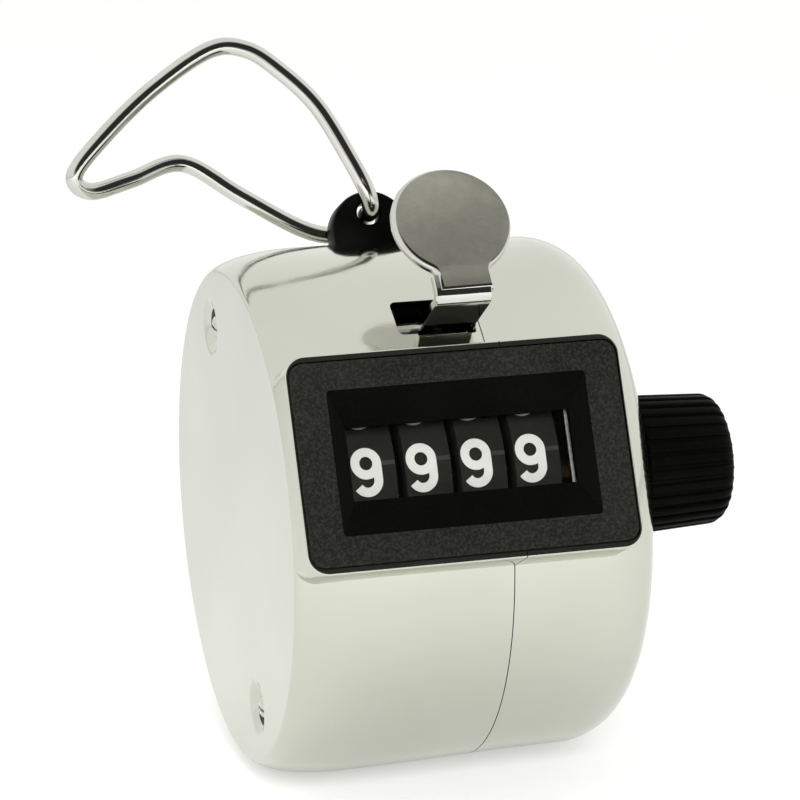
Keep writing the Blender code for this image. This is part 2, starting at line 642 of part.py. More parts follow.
def lever_return_spring(material):
    """A torsion spring round the pivot pin: one leg points forwards, one lies under the lever's flange."""
    turns = 4
    pitch = 0.62 * MM
    radius = 1.75 * MM
    start_x = 3.9 * MM
    steps = 10
    path = [(start_x, PIVOT_Y - 3.2 * MM, PIVOT_Z - 1.6 * MM),
            (start_x, PIVOT_Y - 1.5 * MM, PIVOT_Z - 1.7 * MM)]
    for i in range(turns * steps + 1):
        angle = math.radians(-90) + 2 * math.pi * i / steps
        coil = (PIVOT_Y + radius * math.cos(angle), PIVOT_Z + radius * math.sin(angle))
        path.append((start_x + pitch * i / steps, *coil))
    end_x = start_x + pitch * turns
    path += [(end_x, PIVOT_Y + 1.2 * MM, PIVOT_Z - 1.6 * MM),
             (end_x + 1.6 * MM, PIVOT_Y + 2.1 * MM, 9.65 * MM)]
    make_object("lever_return_spring", sweep(path, 0.17 * MM, 5), counter, material)


clear_scene()
chrome = make_material("chrome", (0.78, 0.79, 0.74), 0.08, 1.0)
black_plastic = make_material("black_plastic", (0.015, 0.015, 0.014), 0.5, 0.0)
clear_plastic = make_material("clear_plastic", (0.8, 0.85, 0.85), 0.05, 0.0)
wheel_plastic = make_material("wheel_plastic", (0.03, 0.03, 0.032), 0.45, 0.0)
plated_steel = make_material("plated_steel", (0.6, 0.6, 0.58), 0.35, 1.0)
spring_steel = make_material("spring_steel", (0.45, 0.46, 0.48), 0.3, 1.0)
brass = make_material("brass", (0.75, 0.58, 0.28), 0.3, 1.0)

counter = make_empty("counter", (0, 0, 0))
wheel_axis = make_empty("wheel_axis", (0, WHEEL_Y, WHEEL_Z), counter)
lever_axis = make_empty("lever_axis", (0, PIVOT_Y, PIVOT_Z), counter)
ring_axis = make_empty("ring_axis", (LUG_X, LUG_Y, LUG_HOLE_Z), counter)

left_case_shell(chrome)
right_case_shell(chrome)
window_bezel(black_plastic)
window_lens(clear_plastic)
frame_plate("left_frame_plate", LEFT_PLATE_X, plated_steel)
frame_plate("right_frame_plate", RIGHT_PLATE_X, plated_steel)
frame_spacers(plated_steel)
frame_screws(plated_steel)
case_posts(brass, chrome)
shaft_bushings(brass)
spacer_sleeves(brass)
detent_comb(spring_steel)
ring_lug(black_plastic)
finger_ring(chrome)
number_wheels(wheel_plastic)
reset_shaft(plated_steel)
reset_knob(black_plastic)
lever_pivot(plated_steel)
thumb_lever(chrome)
drive_comb(spring_steel, plated_steel)
lever_return_spring(spring_steel)
counter.rotation_euler = (LEAN, 0, 0)
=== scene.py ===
import json
import math

import bmesh
import bpy
from mathutils import Matrix, Vector

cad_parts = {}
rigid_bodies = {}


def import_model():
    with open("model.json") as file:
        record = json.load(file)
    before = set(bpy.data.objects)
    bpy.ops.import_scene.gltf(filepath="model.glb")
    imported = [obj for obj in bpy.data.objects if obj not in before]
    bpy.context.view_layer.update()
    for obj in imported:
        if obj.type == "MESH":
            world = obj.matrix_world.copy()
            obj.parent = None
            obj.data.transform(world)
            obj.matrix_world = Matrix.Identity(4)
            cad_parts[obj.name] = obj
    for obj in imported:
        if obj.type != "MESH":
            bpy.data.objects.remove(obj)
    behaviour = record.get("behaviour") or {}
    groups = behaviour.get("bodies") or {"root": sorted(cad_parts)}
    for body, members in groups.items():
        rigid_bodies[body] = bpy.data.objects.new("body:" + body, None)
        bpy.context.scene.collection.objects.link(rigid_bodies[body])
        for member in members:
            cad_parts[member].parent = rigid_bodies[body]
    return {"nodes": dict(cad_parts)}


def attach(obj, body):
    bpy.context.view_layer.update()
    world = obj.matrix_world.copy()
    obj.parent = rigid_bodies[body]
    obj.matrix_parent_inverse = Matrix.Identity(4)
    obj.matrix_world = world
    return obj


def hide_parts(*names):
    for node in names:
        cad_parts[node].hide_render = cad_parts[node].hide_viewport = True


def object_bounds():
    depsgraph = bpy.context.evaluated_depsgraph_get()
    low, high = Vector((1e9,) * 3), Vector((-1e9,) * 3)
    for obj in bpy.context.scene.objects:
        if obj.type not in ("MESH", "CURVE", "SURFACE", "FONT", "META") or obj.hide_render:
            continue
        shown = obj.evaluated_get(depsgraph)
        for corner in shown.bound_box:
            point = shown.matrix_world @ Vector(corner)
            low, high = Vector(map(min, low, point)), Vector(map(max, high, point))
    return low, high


for leftover in list(bpy.data.objects):
    bpy.data.objects.remove(leftover, do_unlink=True)
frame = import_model()
cadLow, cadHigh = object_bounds()
print("counter frame loaded")

# Everything below is drawn in millimetres on the upright counter: X runs from the flat left side
# to the knob, the window looks along -Y, Z goes up through the ring. The counter then leans back.
millimetre = 0.001
leanBack = math.radians(-25)
uprightToRow = Matrix.Rotation(leanBack, 4, "X") @ Matrix.Scale(millimetre, 4)


def addObject(name, data):
    obj = bpy.data.objects.new(name, data)
    bpy.context.scene.collection.objects.link(obj)
    return obj


def dress(obj, *materials):
    # clearing the slots also sets every face back to the first finish
    obj.data.materials.clear()
    for material in materials:
        obj.data.materials.append(material)


def smoothMesh(mesh, sharpAngle):
    mesh.shade_smooth()
    mesh.set_sharp_from_angle(angle=math.radians(sharpAngle))


def closeMesh(name, bm, sharpAngle=32):
    bmesh.ops.remove_doubles(bm, verts=bm.verts, dist=1e-4)
    bmesh.ops.recalc_face_normals(bm, faces=bm.faces)
    mesh = bpy.data.meshes.new(name)
    bm.to_mesh(mesh)
    bm.free()
    smoothMesh(mesh, sharpAngle)
    return addObject(name, mesh)


def bakeShape(obj, sharpAngle=None):
    bpy.context.view_layer.update()
    evaluated = obj.evaluated_get(bpy.context.evaluated_depsgraph_get())
    mesh = bpy.data.meshes.new_from_object(evaluated)
    obj.modifiers.clear()
    obj.data = mesh
    if sharpAngle:
        smoothMesh(mesh, sharpAngle)
    return obj


def combine(obj, shapes, operation, sharpAngle=32):
    tools = [closeMesh("tool", shape) for shape in shapes]
    for tool in tools:
        modifier = obj.modifiers.new(operation.lower(), "BOOLEAN")
        modifier.operation = operation
        modifier.solver = "EXACT"
        modifier.object = tool
    bakeShape(obj, sharpAngle)
    for tool in tools:
        bpy.data.objects.remove(tool, do_unlink=True)
    return obj


def bridge(bm, first, second):
    for i in range(len(first)):
        j = (i + 1) % len(first)
        bm.faces.new((first[i], first[j], second[j], second[i]))


def loft(outlines, closed=False, capped=True):
    bm = bmesh.new()
    loops = [[bm.verts.new(point) for point in outline] for outline in outlines]
    for first, second in zip(loops, loops[1:]):
        bridge(bm, first, second)
    if closed:
        bridge(bm, loops[-1], loops[0])
    elif capped:
        bm.faces.new(loops[0])
        bm.faces.new(loops[-1])
    return bm


def lathe(profile, centre=(0, 0), segments=64, closed=False):
    turns = [2 * math.pi * i / segments for i in range(segments)]
    return loft([[(x, centre[0] + r * math.cos(a), centre[1] + r * math.sin(a)) for a in turns]
                 for x, r in profile], closed)


def prismX(outline, start, end):
    return loft([[(x, y, z) for y, z in outline] for x in (start, end)])


def prismY(outline, start, end):
    return loft([[(x, y, z) for x, z in outline] for y in (start, end)])


def ellipseArc(centre, reach, start, end, steps=24):
    turns = [math.radians(start + (end - start) * i / steps) for i in range(steps + 1)]
    return [(centre[0] + reach[0] * math.cos(a), centre[1] + reach[1] * math.sin(a)) for a in turns]


def arc(centre, radius, start, end, steps):
    return ellipseArc(centre, (radius, radius), start, end, steps)


def rectangle(left, low, right, high):
    return [(left, low), (right, low), (right, high), (left, high)]


def roundedBox(centre, width, height, radius, steps=8):
    points = []
    for quarter, (side, rise) in enumerate(((1, 1), (-1, 1), (-1, -1), (1, -1))):
        corner = (centre[0] + side * (width / 2 - radius), centre[1] + rise * (height / 2 - radius))
        points += arc(corner, radius, 90 * quarter, 90 * quarter + 90, steps)
    return points


def finishPiece(obj, material, body, nodes=()):
    obj.data.transform(uprightToRow)
    if material:
        dress(obj, material)
    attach(obj, body)
    if nodes:
        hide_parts(*nodes)
    return obj


def newGroup(name, family, inputs, outputs):
    # a geometry or shader group with its sockets; an input without a value keeps Blender's own
    group = bpy.data.node_groups.new(name, family + "NodeTree")
    for label, kind, *value in inputs:
        socket = group.interface.new_socket(label, in_out="INPUT", socket_type="NodeSocket" + kind)
        if value:
            socket.default_value = value[0]
    for label, kind in outputs:
        group.interface.new_socket(label, in_out="OUTPUT", socket_type="NodeSocket" + kind)
    return group, group.nodes.new("NodeGroupInput"), group.nodes.new("NodeGroupOutput")


def newTree(name, inputs):
    return newGroup(name, "Geometry", [("Geometry", "Geometry"), *inputs, ("Material", "Material")],
                    [("Geometry", "Geometry")])


def feed(tree, socket, value):
    # sets a socket to a constant, or links another socket to it
    if isinstance(value, (int, float, tuple)):
        socket.default_value = value
    elif value is not None:
        tree.links.new(value, socket)


def mathNode(tree, operation, first, second=None):
    node = tree.nodes.new("ShaderNodeMath")
    node.operation = operation
    for socket, value in zip(node.inputs, (first, second)):
        feed(tree, socket, value)
    return node.outputs[0]


def endTree(tree, start, end, geometry):
    realize = tree.nodes.new("GeometryNodeRealizeInstances")
    paint = tree.nodes.new("GeometryNodeSetMaterial")
    tree.links.new(geometry, realize.inputs["Geometry"])
    tree.links.new(realize.outputs["Geometry"], paint.inputs["Geometry"])
    tree.links.new(start.outputs["Material"], paint.inputs["Material"])
    tree.links.new(paint.outputs["Geometry"], end.inputs["Geometry"])
    return tree


def buildCopiesTree(name, inputs):
    # one copy of the shape on each point of a line
    tree, start, end = newTree(name, inputs)
    line = tree.nodes.new("GeometryNodeMeshLine")
    line.mode = "OFFSET"
    copies = tree.nodes.new("GeometryNodeInstanceOnPoints")
    tree.links.new(start.outputs["Count"], line.inputs["Count"])
    tree.links.new(line.outputs["Mesh"], copies.inputs["Points"])
    tree.links.new(start.outputs["Geometry"], copies.inputs["Instance"])
    return tree, start, end, line, copies


def buildRoundTree():
    # copies a small shape at even turns round the X axis
    tree, start, end, line, copies = buildCopiesTree(
        "copiesRoundAxis", [("Count", "Int", 10), ("First Turn", "Float", 0.0)])
    line.inputs["Offset"].default_value = (0, 0, 0)
    index = tree.nodes.new("GeometryNodeInputIndex")
    share = mathNode(tree, "DIVIDE", index.outputs[0], start.outputs["Count"])
    turn = mathNode(tree, "MULTIPLY", share, 2 * math.pi)
    rotation = tree.nodes.new("ShaderNodeCombineXYZ")
    tree.links.new(mathNode(tree, "ADD", turn, start.outputs["First Turn"]), rotation.inputs["X"])
    tree.links.new(rotation.outputs[0], copies.inputs["Rotation"])
    return endTree(tree, start, end, copies.outputs["Instances"])


def buildRowTree():
    # copies a small shape along a straight line
    tree, start, end, line, copies = buildCopiesTree(
        "copiesInRow", [("Count", "Int", 2), ("Step", "Vector", (0, 0, 1))])
    tree.links.new(start.outputs["Step"], line.inputs["Offset"])
    return endTree(tree, start, end, copies.outputs["Instances"])


def buildWrapTree():
    # bends a flat strip (X across, Y along, Z out) round the X axis
    tree, start, end = newTree("bandRoundWheel", [("Radius", "Float", 8.9)])
    position = tree.nodes.new("GeometryNodeInputPosition")
    parts = tree.nodes.new("ShaderNodeSeparateXYZ")
    tree.links.new(position.outputs[0], parts.inputs[0])
    turn = mathNode(tree, "DIVIDE", parts.outputs["Y"], start.outputs["Radius"])
    reach = mathNode(tree, "ADD", parts.outputs["Z"], start.outputs["Radius"])
    inward = mathNode(tree, "MULTIPLY", mathNode(tree, "COSINE", turn), reach)
    away = mathNode(tree, "MULTIPLY", inward, -1)
    rise = mathNode(tree, "MULTIPLY", mathNode(tree, "SINE", turn), reach)
    moved = tree.nodes.new("ShaderNodeCombineXYZ")
    tree.links.new(parts.outputs["X"], moved.inputs["X"])
    tree.links.new(away, moved.inputs["Y"])
    tree.links.new(rise, moved.inputs["Z"])
    place = tree.nodes.new("GeometryNodeSetPosition")
    tree.links.new(start.outputs["Geometry"], place.inputs["Geometry"])
    tree.links.new(moved.outputs[0], place.inputs["Position"])
    return endTree(tree, start, end, place.outputs["Geometry"])


def applyTree(obj, tree, **values):
    modifier = obj.modifiers.new("tree", "NODES")
    modifier.node_group = tree
    sockets = {item.name.replace(" ", ""): item.identifier for item in tree.interface.items_tree
               if item.in_out == "INPUT"}
    for name, value in values.items():
        modifier[sockets[name[0].upper() + name[1:]]] = value
    return bakeShape(obj)


def noise(tree, vector, scale, detail=2.0, roughness=0.5):
    node = tree.nodes.new("ShaderNodeTexNoise")
    tree.links.new(vector, node.inputs["Vector"])
    for name, value in (("Scale", scale), ("Detail", detail), ("Roughness", roughness)):
        feed(tree, node.inputs[name], value)
    return node.outputs["Fac"]


def mapRange(tree, value, low, high, toLow, toHigh):
    node = tree.nodes.new("ShaderNodeMapRange")
    for place, item in enumerate((value, low, high, toLow, toHigh)):
        feed(tree, node.inputs[place], item)
    return node.outputs[0]


def mixColour(tree, factor, first, second):
    node = tree.nodes.new("ShaderNodeMix")
    node.data_type = "RGBA"
    for place, value in ((0, factor), (6, first), (7, second)):
        feed(tree, node.inputs[place], value)
    return node.outputs[2]


def buildMottle():
    # broad, soft change of tone: light and dark colour by a slow noise, plus a handled-smudge mask
    group, start, end = newGroup(
        "softMottle", "Shader",
        [("Light", "Color", (1, 1, 1, 1)), ("Dark", "Color", (0, 0, 0, 1)), ("Scale", "Float", 120.0),
         ("Smudge Scale", "Float", 300.0)],
        [("Color", "Color"), ("Smudge", "Float")])
    place = group.nodes.new("ShaderNodeTexCoord").outputs["Object"]
    broad = mapRange(group, noise(group, place, start.outputs["Scale"], 3.0), 0.35, 0.65, 0.0, 1.0)
    marks = noise(group, place, start.outputs["Smudge Scale"], 5.0, 0.6)
    smudge = mapRange(group, marks, 0.45, 0.75, 0.0, 1.0)
    colour = mixColour(group, broad, start.outputs["Dark"], start.outputs["Light"])
    group.links.new(colour, end.inputs["Color"])
    group.links.new(smudge, end.inputs["Smudge"])
    return group


def buildGrain():
    # fine moulded or blasted grain: height for a bump and a fleck mask for the colour
    group, start, end = newGroup(
        "fineGrain", "Shader", [("Scale", "Float", 4000.0), ("Fleck Scale", "Float", 2500.0)],
        [("Height", "Float"), ("Fleck", "Float")])
    place = group.nodes.new("ShaderNodeTexCoord").outputs["Object"]
    height = noise(group, place, start.outputs["Scale"], 2.0, 0.6)
    flecks = noise(group, place, start.outputs["Fleck Scale"], 2.0)
    fleck = mapRange(group, flecks, 0.42, 0.78, 0.0, 1.0)
    group.links.new(height, end.inputs["Height"])
    group.links.new(fleck, end.inputs["Fleck"])
    return group


def buildHairlines():
    # drawn-out fine lines along one direction, for turned, rolled and polished metal
    group, start, end = newGroup(
        "hairlines", "Shader", [("Stretch", "Vector", (300.0, 6000.0, 6000.0))], [("Line", "Float")])
    place = group.nodes.new("ShaderNodeTexCoord").outputs["Object"]
    scaled = group.nodes.new("ShaderNodeVectorMath")
    scaled.operation = "MULTIPLY"
    group.links.new(place, scaled.inputs[0])
    group.links.new(start.outputs["Stretch"], scaled.inputs[1])
    group.links.new(mapRange(group, noise(group, scaled.outputs[0], 1.0, 3.0, 0.6), 0.3, 0.7, 0.0, 1.0),
                    end.inputs["Line"])
    return group


def useGroup(tree, group, **values):
    node = tree.nodes.new("ShaderNodeGroup")
    node.node_tree = group
    sockets = {socket.name.replace(" ", ""): socket for socket in node.inputs}
    for name, value in values.items():
        sockets[name[0].upper() + name[1:]].default_value = value
    return node


def bump(tree, height, strength, distance):
    node = tree.nodes.new("ShaderNodeBump")
    node.inputs["Strength"].default_value = strength
    node.inputs["Distance"].default_value = distance
    tree.links.new(height, node.inputs["Height"])
    return node.outputs["Normal"]


def startMaterial(name, finish):
    material = bpy.data.materials.new(name)
    material.use_nodes = True
    tree = material.node_tree
    shader = tree.nodes["Principled BSDF"]
    shader.inputs["Metallic"].default_value = finish["metallic"]
    material.diffuse_color = finish["light"]
    return material, tree, shader


def mottledMaterial(name, finish):
    # the tone and the roughness that metals and plastics share
    material, tree, shader = startMaterial(name, finish)
    mottle = useGroup(tree, softMottle, light=finish["light"], dark=finish["dark"],
                      scale=finish["toneScale"], smudgeScale=finish["smudgeScale"])
    sheen = mapRange(tree, mottle.outputs["Smudge"], 0.0, 1.0, *finish["roughness"])
    tree.links.new(sheen, shader.inputs["Roughness"])
    return material, tree, shader, mottle.outputs["Color"]


def metalMaterial(name, finish):
    material, tree, shader, tone = mottledMaterial(name, finish)
    lines = useGroup(tree, hairlines, stretch=finish["stretch"])
    tree.links.new(tone, shader.inputs["Base Color"])
    normal = bump(tree, lines.outputs["Line"], finish["bump"], finish["depth"])
    tree.links.new(normal, shader.inputs["Normal"])
    return material


def plasticMaterial(name, finish):
    material, tree, shader, tone = mottledMaterial(name, finish)
    grain = useGroup(tree, fineGrain, scale=finish["grainScale"], fleckScale=finish["fleckScale"])
    fleck = mathNode(tree, "MULTIPLY", grain.outputs["Fleck"], finish["fleckAmount"])
    tree.links.new(mixColour(tree, fleck, tone, finish["fleck"]), shader.inputs["Base Color"])
    normal = bump(tree, grain.outputs["Height"], finish["bump"], finish["depth"])
    tree.links.new(normal, shader.inputs["Normal"])
    shader.inputs["Specular IOR Level"].default_value = finish["specular"]
    return material


softMottle = buildMottle()
fineGrain = buildGrain()
hairlines = buildHairlines()

caseFinish = {
    "light": (0.640, 0.652, 0.575, 1), "dark": (0.600, 0.612, 0.535, 1), "metallic": 1.0,
    "toneScale": 60.0, "smudgeScale": 220.0, "stretch": (500.0, 900.0, 900.0),
    "roughness": (0.10, 0.17), "bump": 0.02, "depth": 0.0002,
}
polishFinish = dict(
    caseFinish, light=(0.66, 0.66, 0.62, 1), dark=(0.60, 0.60, 0.56, 1), roughness=(0.06, 0.12),
    toneScale=200.0, smudgeScale=700.0)
satinFinish = dict(
    caseFinish, light=(0.44, 0.44, 0.375, 1), dark=(0.40, 0.40, 0.34, 1), roughness=(0.52, 0.58),
    toneScale=900.0, smudgeScale=2500.0, stretch=(3500.0, 3500.0, 3500.0), bump=0.12, depth=0.00006)
# painted shade: the shell's inner side takes a near-black metal, standing in for the shade inside the
# case
shadedInsideFinish = dict(
    caseFinish, light=(0.10, 0.10, 0.09, 1), dark=(0.06, 0.06, 0.055, 1), roughness=(0.45, 0.6))
plateFinish = dict(
    caseFinish, light=(0.62, 0.61, 0.56, 1), dark=(0.50, 0.50, 0.47, 1), roughness=(0.25, 0.4),
    toneScale=300.0, smudgeScale=900.0, stretch=(400.0, 4000.0, 4000.0), bump=0.1, depth=0.0001)
springFinish = dict(
    plateFinish, light=(0.50, 0.51, 0.53, 1), dark=(0.38, 0.39, 0.42, 1), roughness=(0.2, 0.34))
brassFinish = dict(
    plateFinish, light=(0.78, 0.60, 0.28, 1), dark=(0.62, 0.45, 0.20, 1), roughness=(0.2, 0.36))
frameFinish = {
    "light": (0.009, 0.0095, 0.0075, 1), "dark": (0.006, 0.0065, 0.005, 1), "metallic": 0.0,
    "toneScale": 180.0, "smudgeScale": 500.0, "grainScale": 4200.0, "fleckScale": 4600.0,
    "fleckAmount": 0.45, "fleck": (0.045, 0.046, 0.040, 1), "roughness": (0.46, 0.58), "bump": 0.5,
    "depth": 0.00010, "specular": 0.2,
}
knobFinish = dict(
    frameFinish, light=(0.0022, 0.0022, 0.0018, 1), dark=(0.0015, 0.0015, 0.0012, 1),
    fleckAmount=0.02, roughness=(0.38, 0.5), bump=0.15, depth=0.00005, specular=0.025)
# painted shade: the bezel's recess walls take a darker black than the frame face, standing in for the
# shade inside the recess
shadedRecessFinish = dict(
    knobFinish, light=(0.002, 0.002, 0.0016, 1), dark=(0.0014, 0.0014, 0.001, 1),
    roughness=(0.35, 0.45), bump=0.12, specular=0.03)
# painted highlight: a light grey finish for the glint along the pane's cut edge
edgeGlintFinish = dict(
    frameFinish, light=(0.42, 0.43, 0.40, 1), dark=(0.30, 0.31, 0.28, 1), roughness=(0.3, 0.5))
lugFinish = dict(
    knobFinish, light=(0.0045, 0.0045, 0.004, 1), roughness=(0.3, 0.42), bump=0.12, specular=0.06)
wheelFinish = dict(
    frameFinish, light=(0.020, 0.0205, 0.0175, 1), dark=(0.015, 0.0155, 0.013, 1),
    fleckAmount=0.12, roughness=(0.42, 0.55), bump=0.15, depth=0.00006)
figureFinish = dict(
    wheelFinish, light=(0.70, 0.70, 0.665, 1), dark=(0.65, 0.65, 0.615, 1),
    fleck=(0.58, 0.58, 0.545, 1), fleckAmount=0.25, roughness=(0.45, 0.6), bump=0.1)
markFinish = dict(wheelFinish, light=(0.045, 0.045, 0.040, 1), dark=(0.038, 0.038, 0.034, 1))

caseChrome = metalMaterial("caseChrome", caseFinish)
polishedChrome = metalMaterial("polishedChrome", polishFinish)
padSatin = metalMaterial("padSatin", satinFinish)
shadedInside = metalMaterial("shadedInside", shadedInsideFinish)
zincPlate = metalMaterial("zincPlate", plateFinish)
springSteel = metalMaterial("springSteel", springFinish)
turnedBrass = metalMaterial("turnedBrass", brassFinish)
framePlastic = plasticMaterial("framePlastic", frameFinish)
shadedRecessPlastic = plasticMaterial("shadedRecessPlastic", shadedRecessFinish)
paintedEdgeGlint = plasticMaterial("paintedEdgeGlint", edgeGlintFinish)
knobPlastic = plasticMaterial("knobPlastic", knobFinish)
lugPlastic = plasticMaterial("lugPlastic", lugFinish)
wheelPlastic = plasticMaterial("wheelPlastic", wheelFinish)
figurePaint = plasticMaterial("figurePaint", figureFinish)
markPlastic = plasticMaterial("markPlastic", markFinish)


def buildLensMaterial():
    # thin clear window: what it reflects is set by the angle, the rest is see-through
    finish = {"metallic": 1.0, "light": (0.9, 0.92, 0.9, 0.2)}
    material, tree, shader = startMaterial("lensClear", finish)
    mottle = useGroup(tree, softMottle, light=(0.95, 0.96, 0.95, 1), dark=(0.90, 0.91, 0.90, 1),
                      scale=150.0, smudgeScale=400.0)
    tree.links.new(mottle.outputs["Color"], shader.inputs["Base Color"])
    sheen = mapRange(tree, mottle.outputs["Smudge"], 0.0, 1.0, 0.05, 0.14)
    tree.links.new(sheen, shader.inputs["Roughness"])
    fresnel = tree.nodes.new("ShaderNodeFresnel")
    fresnel.inputs["IOR"].default_value = 1.4
    tree.links.new(mapRange(tree, fresnel.outputs[0], 0.0, 1.0, 0.0, 0.9), shader.inputs["Alpha"])
    return material


lensClear = buildLensMaterial()
copiesRoundAxis = buildRoundTree()
copiesInRow = buildRowTree()
bandRoundWheel = buildWrapTree()
print("finishes and trees ready")

drum = {
    "width": 30.6, "radius": 21.75, "rightRadius": 21.3, "wall": 0.6, "leftFace": 20.0,
    "rightFace": 16.8, "leftRoll": 6.5, "rightRoll": 4.9, "seam": 17.65, "seamGap": 0.08,
    "segments": 192, "rollSteps": 14, "taperSteps": 12, "postHeight": 16.0,
}
window = {
    "x": 13.75, "z": -0.2, "faceY": -23.5, "width": 26.9, "height": 16.3, "corner": 1.2,
    "depth": 1.6, "collarSide": 0.2, "collarWall": 0.5, "recessWidth": 21.2, "recessHeight": 11.7,
    "openingWidth": 18.4, "openingHeight": 5.95, "recessDepth": 1.05,
}
# openings in the case, as centre, width, height and corner across the front
leverSlot = ((14.13, 11.95), 6.55, 3.1, 0.5)
stemNotch = ((14.85, 10.6), 4.9, 0.9, 0.2)
lugSlot = {"left": 10.06, "right": 16.86, "low": 18, "high": 24, "front": -5.3, "back": -2.7}
wheelAxis = (-11.7, -0.5)
leverPivot = (-14.6, 10.9)
fit = 0.1


def taperShare(x):
    # how far a point lies along the drum's gently narrowing middle, from 0 at the left roll to 1
    return (x - drum["leftRoll"]) / (drum["width"] - drum["leftRoll"] - drum["rightRoll"])


def taperRadius(x):
    drop = drum["radius"] - drum["rightRadius"]
    return drum["radius"] - drop * (1 - math.cos(math.pi * taperShare(x))) / 2


def drumProfile(inset):
    left, right = drum["leftFace"] - inset, drum["rightFace"] - inset
    radius, narrow = drum["radius"] - inset, drum["rightRadius"] - inset
    quarter = [math.pi / 2 * i / drum["rollSteps"] for i in range(drum["rollSteps"] + 1)]
    taperStart, taperEnd = drum["leftRoll"], drum["width"] - drum["rightRoll"]
    points = [(inset + (taperStart - inset) * (1 - math.cos(turn)),
               left + (radius - left) * math.sin(turn)) for turn in quarter]
    for i in range(1, drum["taperSteps"]):
        x = taperStart + (taperEnd - taperStart) * i / drum["taperSteps"]
        points.append((x, taperRadius(x) - inset))
    return points + [(drum["width"] - inset - (drum["rightRoll"] - inset) * (1 - math.sin(turn)),
                      right + (narrow - right) * math.cos(turn)) for turn in quarter]


def drumNormal(point):
    # the true outward direction of the pressed drum at a point of its outer skin, or None off the skin
    x, radius = point.x, math.hypot(point.y, point.z)
    flat = drum["width"] - drum["leftRoll"] - drum["rightRoll"]
    expected, out = taperRadius(x), 1.0
    drop = drum["radius"] - drum["rightRadius"]
    along = drop * math.pi / 2 * math.sin(math.pi * taperShare(x)) / flat
    for way, reach, roll, face, full in (
            (-1, x, drum["leftRoll"], drum["leftFace"], drum["radius"]),
            (1, drum["width"] - x, drum["rightRoll"], drum["rightFace"], drum["rightRadius"])):
        if reach < roll:
            share = min(1.0, max(0.0, 1 - reach / roll))
            rise = math.sqrt(max(0.0, 1 - share * share))
            expected = face + (full - face) * rise
            along, out = way * (full - face) * share, roll * rise
            if reach < 0.002 and radius < face + 0.05:
                return Vector((way, 0, 0))
    if abs(radius - expected) > 0.05:
        return None
    return Vector((along, out * point.y / radius, out * point.z / radius)).normalized()


def isInside(centre, normal):
    # true for a face of the shell's hidden inner side
    radius = math.hypot(centre.y, centre.z)
    if centre.y < -20 or not 0.4 < centre.x < drum["width"] - 0.4:
        return False
    outward = Vector((0, centre.y, centre.z)).normalized()
    if radius < drum["rightFace"] - 1:
        outward = Vector((-1 if centre.x < drum["width"] / 2 else 1, 0, 0))
    return normal.dot(outward) < -0.3


def smoothSkin(obj):
    # boolean cuts leave uneven faces, so the skin takes its shading from the shape itself
    mesh = obj.data
    dress(obj, caseChrome, shadedInside)
    for face in mesh.polygons:
        # faces of the inner side take the dark finish, which is painted shade
        face.material_index = int(isInside(face.center, face.normal))
    normals = [Vector(item.vector) for item in mesh.corner_normals]
    for face in mesh.polygons:
        for corner in face.loop_indices:
            true = drumNormal(mesh.vertices[mesh.loops[corner].vertex_index].co)
            if true and true.dot(face.normal) > 0.96:
                normals[corner] = true
    mesh.normals_split_custom_set(normals)


def collarOutline(width, height, corner):
    return roundedBox((window["x"], window["z"]), width, height, corner, 10)


def buildCase(name):
    shell = closeMesh(name, lathe(drumProfile(0), segments=drum["segments"]), 40)
    width = window["width"] + 2 * window["collarSide"] + fit
    height = window["height"] + 2 * window["collarWall"] + fit
    corner = window["corner"] + window["collarWall"]
    collar = loft([[(x, y, z) for x, z in collarOutline(width - 2 * inset, height - 2 * inset,
                                                        corner - inset)]
                   for y, inset in ((window["faceY"] + fit, 0.12), (window["faceY"] + fit + 0.04, 0.04),
                                    (window["faceY"] + fit + 0.12, 0.0), (-15, 0.0))])
    combine(shell, [collar], "UNION", 40)
    pocket = prismY(collarOutline(window["width"] + fit, window["height"] + fit, window["corner"]), -25,
                    window["faceY"] + window["depth"] + 1.2)
    opening = prismY(collarOutline(window["width"] - 0.8, window["height"] - 0.4,
                                   window["corner"] - 0.4), -25, -14)
    hollow = lathe(drumProfile(drum["wall"]), segments=drum["segments"])
    combine(shell, [hollow, pocket, opening], "DIFFERENCE", 40)
    return shell


def halfSpace(start, end):
    return prismY(rectangle(start, -30, end, 30), -30, 30)


def cutShell(shell, cutters, node):
    combine(shell, cutters, "DIFFERENCE", 40)
    smoothSkin(shell)
    return finishPiece(shell, None, "case", [node])


def shellLeft():
    shell = buildCase("caseShellLeft")
    posts = (drum["postHeight"], -drum["postHeight"])
    bosses = [lathe([(0.3, 3.3), (1.6, 2.6)], (0, z), 48) for z in posts]
    combine(shell, bosses, "UNION", 40)
    cutters = []
    for z in posts:
        dimple = [(-0.5, 3.1), (0.0, 2.45), (0.12, 2.15), (0.45, 1.55), (0.7, 1.35), (0.8, 1.25)]
        cutters += [lathe(dimple, (0, z), 48), lathe([(-1, 0.75), (3, 0.75)], (0, z), 32)]
    lugCut = rectangle(lugSlot["left"], lugSlot["low"], lugSlot["right"], lugSlot["high"])
    cutters += [prismY(roundedBox(*leverSlot, 6), -26, -12),
                prismY(roundedBox(*stemNotch, 4), -21, -17),
                prismY(lugCut, lugSlot["front"], lugSlot["back"]), halfSpace(drum["seam"], 40)]
    return cutShell(shell, cutters, "left_case_shell")


def shellRight():
    shell = buildCase("caseShellRight")
    cutters = [lathe([(26, 2.4), (33, 2.4)], wheelAxis, 48),
               halfSpace(-10, drum["seam"] + drum["seamGap"])]
    return cutShell(shell, cutters, "right_case_shell")


shellLeft()
shellRight()
print("case shells done")


